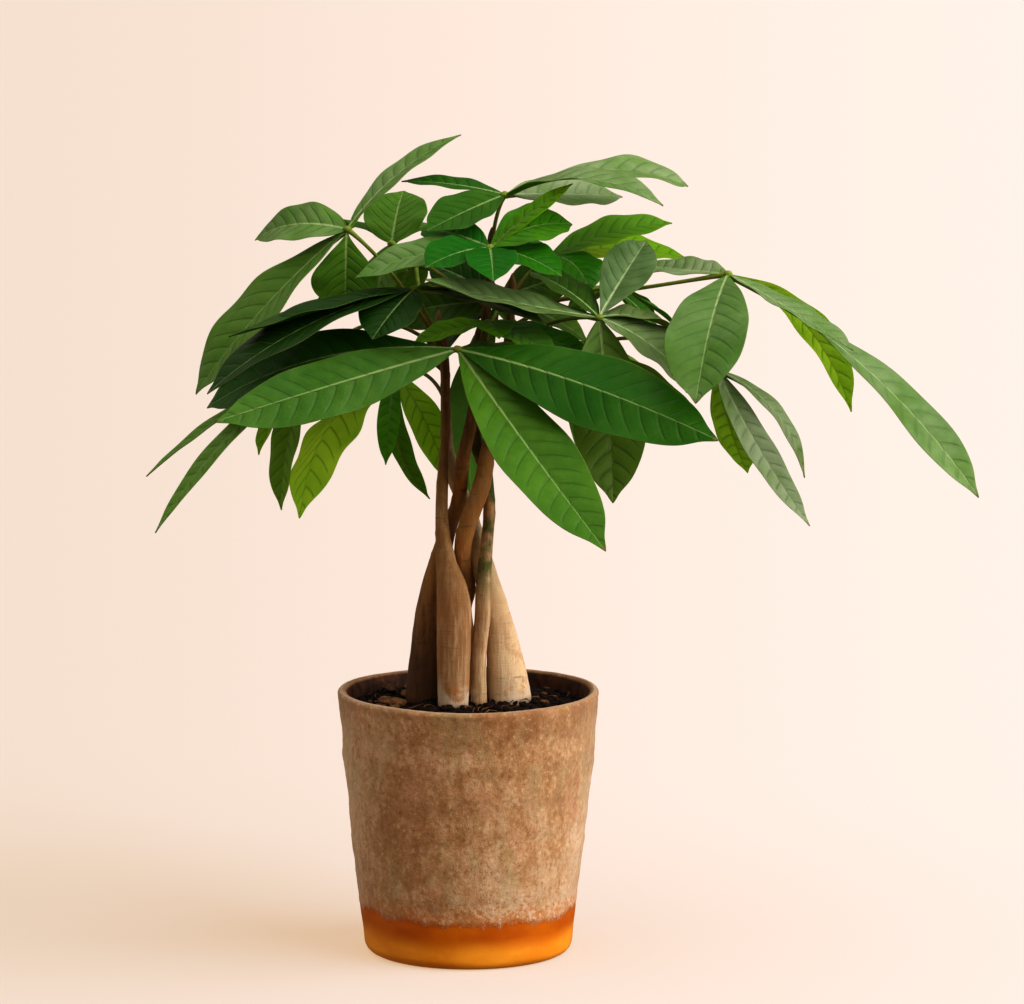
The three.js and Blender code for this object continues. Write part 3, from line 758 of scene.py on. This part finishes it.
def pot(material):
    """The clay pot: a rough matt crust over a glazed band, its rim and its inside."""
    outline = pot_outline()
    rows = len(outline)
    turn = round_turn(POT_SIDES)[None, :]
    r = np.repeat(outline[:, :1], POT_SIDES, axis=1)
    z = np.repeat(outline[:, 1:], POT_SIDES, axis=1)
    outer = smooth(1.5, 5, z) * smooth(143.5, 139, z) * (r > pot_radius(z) - WALL_SKIN)
    inner = (r < pot_radius(z) - POT_WALL + WALL_SKIN) * smooth(9, 14, z)
    flat = np.stack([r * np.cos(turn), r * np.sin(turn), z], -1).reshape(-1, 3)
    coarse = roughen(flat, COARSE_SIZE).reshape(rows, -1)
    crust = roughen(flat * (1, 1, 0.8), CRUST_SIZE, 4).reshape(rows, -1)
    grain = roughen(flat + 9, GRAIN_SIZE, 2).reshape(rows, -1)
    above = smooth(-0.8, 0.8, z - glaze_edge(turn))
    wobble = POT_WOBBLE * (np.sin(2 * turn + z / 40) + 0.6 * np.sin(5 * turn - z / 23))
    ridges = 0.14 * np.sin(z / 2.9 + 0.6 * np.sin(turn * 2)) + 0.1 * np.sin(z / 7.3)
    matt = CRUST + CRUST_RISE * crust + GRAIN_RISE * grain
    relief = above * matt + COARSE_RISE * coarse + ridges
    for angle, height, size in POT_LUMPS:
        gap = np.angle(np.exp(1j * (turn - angle))) * POT_LUMP_R
        relief = relief + size * hump(gap, POT_LUMP_WIDTH) * hump(z - height, POT_LUMP_HEIGHT)
    r = r + outer * (wobble + relief) + inner * 0.25 * (coarse + 0.6 * crust)
    uneven = 0.35 * np.sin(2 * turn + 1) + 0.2 * np.sin(5 * turn) + 0.12 * crust
    z = z + smooth(139, 143, z) * uneven * (r > 60)
    points = np.stack([r * np.cos(turn), r * np.sin(turn), z], -1)
    inward = np.clip((pot_radius(z) - r - 1.5) / 2, 0, 1)
    place = np.stack([inward, z - glaze_edge(turn), np.zeros_like(z)], -1)
    middle = rows - 2
    last = middle * POT_SIDES
    side = np.arange(POT_SIDES)
    following = (side + 1) % POT_SIDES
    inmost = side + last - POT_SIDES
    under = np.stack([np.full(POT_SIDES, last), following, side], -1)
    floor = np.stack([np.full(POT_SIDES, last + 1), inmost, following + last - POT_SIDES], -1)
    faces = [grid(middle, POT_SIDES, wrap=True), under, floor]
    points = np.vstack([points[1:-1].reshape(-1, 3), [(0, 0, POT_RECESS), (0, 0, POT_FLOOR)]])
    place = np.vstack([place[1:-1].reshape(-1, 3), [(0, -GLAZE_TOP, 0), (1, 0, 0)]])
    skin = Skin()
    skin.add(points, faces, pot_place=place)
    skin.piece("pot_body", material, "pot_clay", "pot")


# Materials

# Leaf skins: their sunny and deep colours are mixed by each leaflet's lightness, which is partly painted
# light and shade; leaf_dark is a darker copy, painted shade for leaves deep in the crown
LEAF_SKINS = {  # sunny side, deep side and light through it, and how much light comes through
    "leaf_green": ((0.125, 0.255, 0.02), (0.018, 0.11, 0.004), (0.18, 0.5, 0.01), 0.26),
    "leaf_dark": ((0.085, 0.17, 0.016), (0.012, 0.062, 0.004), (0.16, 0.34, 0.01), 0.2),
    "leaf_bright": ((0.105, 0.32, 0.008), (0.006, 0.135, 0.003), (0.24, 0.64, 0.016), 0.34),
}
LEAF_GLOW = 0.36
LEAF_YELLOW = (0.14, 0.22, 0.01)
LEAF_SHADE = (0.01, 0.042, 0.003)
LEAF_MARGIN = (0.26, 0.3, 0.08)
LEAF_TIP = (0.16, 0.1, 0.03)
LEAF_SHINE = (0.72, 1, 0.55)
# Painted sheen: the grey-green of leaflets reflecting the light, lighter in patches and with painted shade
# in the valleys
PAINTED_SHEEN_LOW = (0.15, 0.24, 0.105)
PAINTED_SHEEN_HIGH = (0.39, 0.47, 0.29)
PAINTED_SHEEN_VALLEY = (0.08, 0.16, 0.06)
RIB_GREEN = (0.38, 0.52, 0.2)
RIB_PAINTED_SHEEN = (0.56, 0.66, 0.4)
UNDER_LOW = (0.06, 0.2, 0.016)
UNDER_HIGH = (0.14, 0.32, 0.032)
UNDER_VEIN = (0.24, 0.4, 0.1)
UNDER_RIB = (0.34, 0.46, 0.14)
THROUGH_RIB = (0.1, 0.16, 0.01)
THROUGH_SHADE = (0.015, 0.05, 0.003)
SUNLIT = (0.7, 0.86, 0.2)
SUNLIT_VALLEY = (0.34, 0.55, 0.05)
SUNLIT_PATCH = (0.42, 0.66, 0.06)
SUNLIT_RIB = (0.3, 0.46, 0.05)
STALK_BROWN = (0.13, 0.065, 0.016)
STALK_GREEN = (0.2, 0.28, 0.035)
STALK_SPECK = (0.07, 0.045, 0.012)

BARK_DARK = (0.045, 0.015, 0.005)
BARK_TAN = (0.34, 0.175, 0.07)
BARK_PALE = (0.78, 0.57, 0.35)
BARK_RUST = (0.46, 0.17, 0.03)
BARK_WARM = (0.5, 0.225, 0.055)
BARK_MOSS = (0.075, 0.105, 0.016)
BARK_RING = (0.075, 0.028, 0.009)
BARK_PAINTED_SHADE = (0.05, 0.018, 0.006)
BARK_CHALK = (0.66, 0.52, 0.38)
BARK_AT_SOIL = (0.05, 0.018, 0.007)
TWIG_DARK = (0.085, 0.035, 0.01)
TWIG_GREEN = (0.19, 0.12, 0.025)

CLAY_DARK = (0.29, 0.128, 0.04)
CLAY_BROWN = (0.5, 0.28, 0.122)
CLAY_PALE = (0.63, 0.46, 0.31)
CLAY_OLIVE = (0.4, 0.31, 0.15)
CLAY_ROSE = (0.55, 0.29, 0.17)
CLAY_DUST = (0.68, 0.54, 0.4)
CLAY_PIT = (0.2, 0.08, 0.028)
CLAY_RUBBED = (0.7, 0.6, 0.48)
CLAY_WORN = (0.5, 0.17, 0.03)
CLAY_LIP = (0.4, 0.25, 0.16)
CLAY_SHEEN = (1, 0.92, 0.8)
GLAZE_HIGH = (0.5, 0.105, 0.001)
GLAZE_LOW = (0.86, 0.345, 0.024)
GLAZE_FLOW = (0.66, 0.19, 0.003)
GLAZE_SPECK = (0.36, 0.09, 0.006)
INSIDE_DARK = (0.03, 0.008, 0.003)
INSIDE_RED = (0.1, 0.03, 0.009)
INSIDE_STAIN = (0.24, 0.085, 0.024)

# Soil and chips: dark and light colour, and how fine the grain is; the soil's near-black colours are
# painted shade inside the pot
SOIL_SKIN = ((0.004, 0.0012, 0.0005), (0.026, 0.008, 0.003), 420)
CHIP_SKIN = ((0.05, 0.016, 0.005), (0.34, 0.165, 0.065), 300)


class Nodes:
    """The nodes of a material or world, with short calls for the kinds used here."""

    def __init__(self, owner, output="ShaderNodeOutputMaterial"):
        self.owner = owner
        owner.use_nodes = True
        self.tree = owner.node_tree
        self.tree.nodes.clear()
        self.output = self.node(output)
        self.places = self.node("ShaderNodeTexCoord").outputs
        self.place = self.places["Object"]

    def node(self, kind, inputs=None, **settings):
        made = self.tree.nodes.new(kind)
        for key, value in settings.items():
            setattr(made, key, value)
        for key, value in (inputs or {}).items():
            self.feed(made.inputs[key], value)
        return made

    def feed(self, socket, value):
        if isinstance(value, bpy.types.NodeSocket):
            self.tree.links.new(value, socket)
        elif isinstance(value, tuple) and len(value) == 3 and socket.type == "RGBA":
            socket.default_value = (*value, 1)
        else:
            socket.default_value = value

    def math(self, kind, a, b=0):
        return self.node("ShaderNodeMath", {0: a, 1: b}, operation=kind).outputs[0]

    def plus(self, a, b):
        return self.math("ADD", a, b)

    def minus(self, a, b):
        return self.math("SUBTRACT", a, b)

    def times(self, a, b):
        return self.math("MULTIPLY", a, b)

    def swing(self, value, size):
        """A value from 0 to 1 turned into one round zero, that large from end to end."""
        return self.times(self.minus(value, 0.5), size)

    def ramp(self, value, low, high, start=0, end=1):
        inputs = {"Value": value, "From Min": low, "From Max": high, "To Min": start, "To Max": end}
        return self.node("ShaderNodeMapRange", inputs, interpolation_type="SMOOTHSTEP").outputs["Result"]

    def coats(self, colour, *coats):
        """Colours laid over one another, each as thickly as its share from 0 to 1 says."""
        for share, coat in coats:
            mixed = self.node("ShaderNodeMix", {0: share, 6: colour, 7: coat}, data_type="RGBA")
            colour = mixed.outputs[2]
        return colour

    def noise(self, scale, detail=4, rough=0.6, vector=None):
        inputs = {"Vector": vector or self.place, "Scale": scale, "Detail": detail, "Roughness": rough}
        return self.node("ShaderNodeTexNoise", inputs).outputs["Fac"]

    def streaks(self, scale, detail, rough, shift=(0, 0, 0)):
        """Noise with its own scale along each axis."""
        inputs = {"Vector": self.place, "Scale": scale, "Location": shift}
        stretched = self.node("ShaderNodeMapping", inputs).outputs[0]
        return self.noise(1, detail, rough, stretched)

    def values(self, name):
        found = self.node("ShaderNodeAttribute", attribute_name=name, attribute_type="GEOMETRY")
        return self.node("ShaderNodeSeparateXYZ", {0: found.outputs["Vector"]}).outputs

    def bump(self, height, distance, strength, normal=None):
        inputs = {"Height": height, "Distance": distance, "Strength": strength}
        if normal:
            inputs["Normal"] = normal
        return self.node("ShaderNodeBump", inputs).outputs[0]

    def surface(self, colour, rough, **settings):
        """The main surface node; an underscore in a setting's name stands for a space."""
        inputs = {"Base Color": colour, "Roughness": rough}
        inputs.update({key.replace("_", " "): value for key, value in settings.items()})
        return self.node("ShaderNodeBsdfPrincipled", inputs).outputs[0]

    def finish(self, surface):
        self.feed(self.output.inputs["Surface"], surface)
        return self.owner


def material_nodes(name):
    return Nodes(bpy.data.materials.new(name))


def leaf_material(name, lit, deep, glow, clear):
    """A leaflet: lighter and darker patches, partly painted light and shade, painted sheen, painted shade
    in the valleys by the side veins, thin veins, a paler matt underside, and light through it.

    The distance off the midrib is in millimetres.
    """
    s = material_nodes(name)
    t, side, _ = s.values("leaf_place")
    off, vein, kind = s.values("leaf_vein")
    tone, painted_sheen, glowing = s.values("leaf_look")
    under = s.ramp(kind, 0.3, 0.7)
    stalk = s.ramp(kind, 1.3, 1.7)
    away = s.math("ABSOLUTE", off)
    edge = s.math("ABSOLUTE", side)
    rib_width = s.ramp(t, 0, 1, 0.8, 0.28)
    midrib = s.ramp(s.math("DIVIDE", away, rib_width), 0.5, 1.2, 1, 0)
    beside = s.math("PINGPONG", vein, 0.5)
    fade = s.ramp(edge, 0.6, 0.93, 1, 0)
    veins = s.times(s.ramp(beside, 0.012, 0.055, 1, 0), fade)
    valley = s.times(s.ramp(beside, 0.02, 0.17, 1, 0), fade)
    patches = s.noise(24, 5, 0.62)
    mottle = s.noise(170)
    # Each leaflet's lightness, partly painted light and shade, with patches of lighter and darker green
    blend = s.plus(s.times(tone, 0.75), s.times(patches, 0.55))
    blend = s.plus(blend, s.swing(mottle, 0.3))

    yellow = s.ramp(s.noise(15, 3, 0.5), 0.52, 0.74, 0, 0.4)
    shaded = s.ramp(tone, 0, -1)
    # Painted sheen on the leaflets that catch the light, with painted shade in the vein valleys
    painted_sheen_colour = s.coats(
        PAINTED_SHEEN_LOW, (s.ramp(blend, 0.35, 1), PAINTED_SHEEN_HIGH), (s.times(valley, 0.26), PAINTED_SHEEN_VALLEY),
    )
    painted_sheen_patches = s.times(painted_sheen, s.ramp(s.noise(34), 0.36, 0.6, 0.45, 1))
    # Ribs paler still under the painted sheen
    pale = s.coats(RIB_GREEN, (painted_sheen, RIB_PAINTED_SHEEN))
    back = s.coats(
        UNDER_LOW, (s.ramp(blend, 0.2, 1), UNDER_HIGH), (shaded, LEAF_SHADE),
        (s.times(veins, 0.25), UNDER_VEIN), (s.times(midrib, 0.7), UNDER_RIB),
    )
    woody = s.coats(
        STALK_BROWN, (s.ramp(t, 0, 0.7), STALK_GREEN),
        (s.ramp(s.noise(260, 3, 0.55), 0.35, 0.7, 0, 0.35), STALK_SPECK),
    )
    colour = s.coats(
        deep, (s.ramp(blend, 0.22, 0.95), lit),
        (s.times(yellow, s.ramp(tone, 0.1, 0.6)), LEAF_YELLOW),
        (shaded, LEAF_SHADE),
        # Painted shade in the valleys along the side veins
        (s.times(valley, 0.24), deep),
        (painted_sheen_patches, painted_sheen_colour),
        (s.times(veins, 0.08), pale),
        (s.times(midrib, s.ramp(t, 0.1, 0.9, 0.85, 0.5)), pale),
        # Paler margin: the leaf's own edge colour, partly a painted highlight where light catches the edge
        (s.ramp(edge, 0.965, 1, 0, 0.4), LEAF_MARGIN),
        (s.ramp(t, 0.965, 1, 0, 0.7), LEAF_TIP),
        (under, back),
        (stalk, woody),
    )

    sheen = s.ramp(s.noise(70), 0.3, 0.7, 0.3, 0.46)
    rough = s.plus(sheen, s.times(s.math("MAXIMUM", under, stalk), 0.2))
    cells = s.node("ShaderNodeTexVoronoi", {"Vector": s.place, "Scale": 620}, feature="DISTANCE_TO_EDGE")
    relief = s.plus(s.times(cells.outputs["Distance"], 1.1), s.times(s.noise(900, 2, 0.55), 0.4))
    relief = s.minus(relief, s.times(veins, 0.9))
    normal = s.bump(relief, 0.00018, 0.6)
    normal = s.bump(s.minus(1, valley), 0.0004, 0.55, normal)
    body = s.surface(colour, rough, Normal=normal, IOR=1.31, Specular_Tint=LEAF_SHINE)

    sunlit = s.coats(
        SUNLIT, (s.times(valley, 0.3), SUNLIT_VALLEY),
        (s.ramp(s.noise(40), 0.4, 0.64, 0, 0.35), SUNLIT_PATCH),
        (s.times(s.math("MAXIMUM", veins, midrib), 0.7), SUNLIT_RIB),
    )
    through = s.coats(
        glow, (s.times(midrib, 0.6), THROUGH_RIB), (s.times(valley, 0.35), deep), (glowing, sunlit),
        (shaded, THROUGH_SHADE),
    )
    shine = s.node("ShaderNodeBsdfTranslucent", {"Color": through, "Normal": normal}).outputs[0]
    share = s.plus(clear, s.times(glowing, LEAF_GLOW))
    share = s.times(s.minus(1, stalk), share)
    return s.finish(s.node("ShaderNodeMixShader", {0: share, 1: body, 2: shine}).outputs[0])


def bark_material():
    """Smooth wrinkled bark: tan to dark brown by stem, partly painted light and shade, fibres along it,
    green and mossy higher up, and painted shade low down between the darker stems.

    Heights are in tenths of a metre.
    """
    s = material_nodes("bark_skin")
    height, _, _ = s.values("stem_place")
    pale, green, rusty = s.values("stem_look")
    fibres = s.streaks((520, 520, 50), 6, 0.65)
    broad = s.streaks((120, 120, 34), 5, 0.6, (3, 1, 7))
    rings = s.streaks((60, 60, 420), 4, 0.6, (9, 2, 4))
    tone = s.plus(s.times(pale, 0.8), s.times(broad, 0.5))
    tone = s.plus(tone, s.swing(fibres, 0.55))
    from_middle = s.math("ABSOLUTE", s.minus(height, 1.95))
    rust = s.ramp(s.noise(70, 5, 0.7), 0.5, 0.64, 0, 0.75)
    rust = s.times(rust, s.ramp(from_middle, 0.15, 0.5, 0.25, 0.9))
    warm = s.times(s.ramp(height, 1.7, 1.95), s.ramp(s.noise(45), 0.35, 0.6, 0.25, 0.85))
    moss = s.times(s.ramp(s.noise(60, 5, 0.65), 0.3, 0.54), green)
    # Painted shade between the stems low down, on the darker stems
    painted_shade = s.times(s.ramp(height, 1.95, 1.45, 0, 0.75), s.ramp(pale, 0.42, 0.28))
    chalky = s.ramp(s.noise(75), 0.42, 0.56, 0, 0.8)
    chalky = s.times(s.ramp(height, 1.56, 1.42), chalky)
    colour = s.coats(
        BARK_DARK, (s.ramp(tone, 0.2, 0.62), BARK_TAN),
        (s.ramp(tone, 0.58, 1.02), BARK_PALE),
        (rust, BARK_RUST),
        (s.times(warm, rusty), BARK_WARM),
        (s.times(moss, s.ramp(height, 1.85, 2.2)), BARK_MOSS),
        (s.ramp(height, 2.5, 3, 0, 0.8), s.coats(TWIG_DARK, (s.ramp(fibres, 0.35, 0.7), TWIG_GREEN))),
        (s.ramp(rings, 0.6, 0.73, 0, 0.5), BARK_RING),
        (painted_shade, BARK_PAINTED_SHADE),
        (s.times(chalky, s.ramp(pale, 0.4, 0.5)), BARK_CHALK),
        # Darker right where the stems meet the soil
        (s.ramp(height, 1.405, 1.36, 0, 0.6), BARK_AT_SOIL),
    )
    relief = s.plus(s.times(fibres, 0.8), s.times(rings, 0.5))
    rough = s.ramp(fibres, 0.2, 0.8, 0.68, 0.84)
    return s.finish(s.surface(colour, rough, Normal=s.bump(relief, 0.0011, 0.8), IOR=1.38))


def clay_material():
    """The pot: finely mottled dusty crust, glazed orange band near the foot, dark reddish inside.

    The height is in metres, and the distance above the glaze's edge in millimetres.
    """
    s = material_nodes("pot_clay_skin")
    inward, above, _ = s.values("pot_place")
    height = s.node("ShaderNodeSeparateXYZ", {0: s.place}).outputs["Z"]
    broad = s.noise(14, 4, 0.55)
    blotch = s.streaks((170, 170, 90), 6, 0.65)
    speck = s.noise(420, 5, 0.72)
    grit = s.noise(1100, 3)
    tone = s.plus(s.times(broad, 0.4), s.times(blotch, 0.35))
    tone = s.plus(tone, s.times(speck, 0.25))
    tone = s.minus(tone, s.ramp(height, 0.12, 0.142, 0, 0.085))
    worn = s.minus(s.ramp(above, 15, 0, 0, 0.42), s.swing(speck, 2.2))
    worn = s.times(s.ramp(worn, 0.18, 0.42, 0, 0.75), s.ramp(above, 15, 9))
    crust = s.coats(
        CLAY_DARK, (s.ramp(tone, 0.33, 0.54), CLAY_BROWN),
        (s.ramp(tone, 0.45, 0.62), CLAY_PALE),
        (s.ramp(s.streaks((62, 62, 40), 4, 0.6, (2, 6, 1)), 0.5, 0.64, 0, 0.42), CLAY_OLIVE),
        (s.ramp(s.streaks((74, 74, 52), 4, 0.6, (7, 1, 5)), 0.53, 0.66, 0, 0.42), CLAY_ROSE),
        (s.ramp(speck, 0.57, 0.68, 0, 0.5), CLAY_DUST),
        (s.ramp(speck, 0.44, 0.34, 0, 0.45), CLAY_PIT),
        (s.ramp(s.streaks((26, 26, 260), 5, 0.7, (1, 8, 2)), 0.7, 0.75, 0, 0.5), CLAY_RUBBED),
        (worn, CLAY_WORN),
    )

    torn = s.swing(s.streaks((230, 230, 110), 5, 0.7), 9)
    torn = s.plus(torn, s.swing(s.noise(55, 3, 0.5), 10))
    torn = s.plus(torn, s.swing(speck, 7))
    ragged = s.plus(above, torn)
    matt = s.ramp(ragged, -2.2, 1.8)
    flow = s.streaks((40, 40, 90), 4, 0.55, (4, 4, 2))
    band = s.coats(
        GLAZE_HIGH, (s.ramp(above, -7, -17), GLAZE_LOW),
        (s.ramp(flow, 0.35, 0.7, 0, 0.5), GLAZE_FLOW),
        (s.ramp(speck, 0.6, 0.72, 0, 0.35), GLAZE_SPECK),
    )
    wall = s.coats(
        INSIDE_DARK, (s.ramp(blotch, 0.38, 0.62), INSIDE_RED),
        (s.ramp(s.noise(60), 0.54, 0.66, 0, 0.6), INSIDE_STAIN),
    )
    lip = s.plus(height, s.swing(speck, 0.0015))
    colour = s.coats(
        band, (matt, crust),
        (s.ramp(lip, 0.1428, 0.144, 0, 0.6), CLAY_LIP),
        (s.times(s.ramp(inward, 0.3, 0.8), s.ramp(height, 0.1436, 0.142)), wall),
    )

    dusty = s.ramp(speck, 0.3, 0.7, 0.66, 0.88)
    glossy = s.times(s.minus(1, matt), 0.34)
    rough = s.plus(s.times(matt, dusty), glossy)
    pits = s.plus(s.times(speck, 0.8), s.times(grit, 0.35))
    pits = s.plus(pits, s.times(blotch, 0.6))
    relief = s.times(pits, s.ramp(ragged, -2.5, 2.5, 0.15, 0.8))
    dust = s.times(matt, s.ramp(inward, 0.3, 0.8, 0.52, 0))
    return s.finish(s.surface(
        colour, rough, Normal=s.bump(relief, 0.0009, 0.8), IOR=1.38,
        Sheen_Weight=dust, Sheen_Roughness=0.5, Sheen_Tint=CLAY_SHEEN,
    ))


def soil_material(name, dark, light, scale):
    """Damp soil or chips of bark: uneven brown with a grainy surface; the soil's colours are darkened to
    near black as painted shade.
    """
    s = material_nodes(name)
    grain = s.noise(scale, 6, 0.7)
    broad = s.noise(scale / 6)
    tone = s.plus(s.times(grain, 0.6), s.times(broad, 0.5))
    colour = s.coats(dark, (s.ramp(tone, 0.42, 0.78), light))
    rough = s.ramp(broad, 0.3, 0.7, 0.78, 0.95)
    normal = s.bump(grain, 0.0012, 0.9)
    return s.finish(s.surface(colour, rough, Normal=normal, Specular_IOR_Level=0.2))


def floor_material():
    """Pale paper that glows with painted light, a little pinker and darker to the left of the camera's
    middle line, away from the key light.
    """
    s = material_nodes("floor_paper")
    x, y, _ = s.node("ShaderNodeSeparateXYZ", {0: s.place}).outputs
    reach = s.plus(s.math("ABSOLUTE", s.minus(y, CAMERA_AT[1])), 0.3)
    across = s.math("DIVIDE", s.minus(x, CAMERA_AT[0]), reach)
    # The glow is painted light, brighter to the right where the key light shines
    glow = s.coats(PAPER_LEFT, (s.ramp(across, -0.11, 0.1), PAPER_RIGHT))
    return s.finish(s.surface(
        PAPER_BASE, 0.95, Specular_IOR_Level=0, Emission_Color=glow, Emission_Strength=1,
    ))


# Stage


def camera():
    data = bpy.data.cameras.new("camera")
    data.lens = CAMERA_LENS
    data.sensor_width = SENSOR_WIDTH
    data.sensor_fit = "HORIZONTAL"
    data.clip_end = CAMERA_FAR
    made = placed("camera", data)
    made.location = CAMERA_AT
    made.rotation_euler = (math.radians(90 - CAMERA_PITCH_DEG), 0, 0)
    bpy.context.scene.camera = made


def sun(name, toward, strength, spread_deg, colour):
    """A soft sun shining from the direction given, seen from the object."""
    data = bpy.data.lights.new(name, "SUN")
    data.energy = strength
    data.angle = math.radians(spread_deg)
    data.color = colour
    placed(name, data).rotation_euler = Vector(toward).to_track_quat("Z", "Y").to_euler()


def sky():
    """A dim warm fill from all round, paler above the horizon."""
    s = Nodes(bpy.data.worlds.new("studio"), "ShaderNodeOutputWorld")
    up = s.node("ShaderNodeSeparateXYZ", {0: s.places["Generated"]}).outputs["Z"]
    rise = s.node("ShaderNodeMapRange", {0: up, 1: -SKY_BLEND, 2: SKY_BLEND}).outputs["Result"]
    tint = s.coats(SKY_LOW, (rise, SKY_HIGH))
    light = s.node("ShaderNodeBackground", {"Color": tint, "Strength": 1}).outputs[0]
    bpy.context.scene.world = s.finish(light)


def studio():
    """A pale floor that lights nothing, soft suns, and the sky."""
    bpy.ops.mesh.primitive_circle_add(vertices=128, radius=FLOOR_R, fill_type="NGON", location=(0, 0, 0))
    floor = bpy.context.object
    floor.name = "floor"
    floor.data.materials.append(floor_material())
    floor.visible_diffuse = False
    floor.visible_glossy = False
    for name, look in SUNS.items():
        sun(name, *look)
    sky()
    view = bpy.context.scene.view_settings
    view.view_transform = "Standard"
    view.look = "None"
    view.gamma = GAMMA


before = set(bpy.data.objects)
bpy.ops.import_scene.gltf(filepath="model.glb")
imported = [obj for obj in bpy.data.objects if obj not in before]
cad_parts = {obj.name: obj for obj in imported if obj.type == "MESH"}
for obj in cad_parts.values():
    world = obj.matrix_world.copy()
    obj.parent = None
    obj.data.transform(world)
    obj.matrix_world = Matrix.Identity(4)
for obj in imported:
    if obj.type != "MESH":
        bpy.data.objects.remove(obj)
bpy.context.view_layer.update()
camera()
studio()
leaves({slot: leaf_material(slot + "_skin", *look) for slot, look in LEAF_SKINS.items()})
bark = bark_material()
for number, stem_name in enumerate(STEMS):
    stem(stem_name, bark, number + 1)
soil(soil_material("soil_skin", *SOIL_SKIN), soil_material("chip_skin", *CHIP_SKIN))
pot(clay_material())
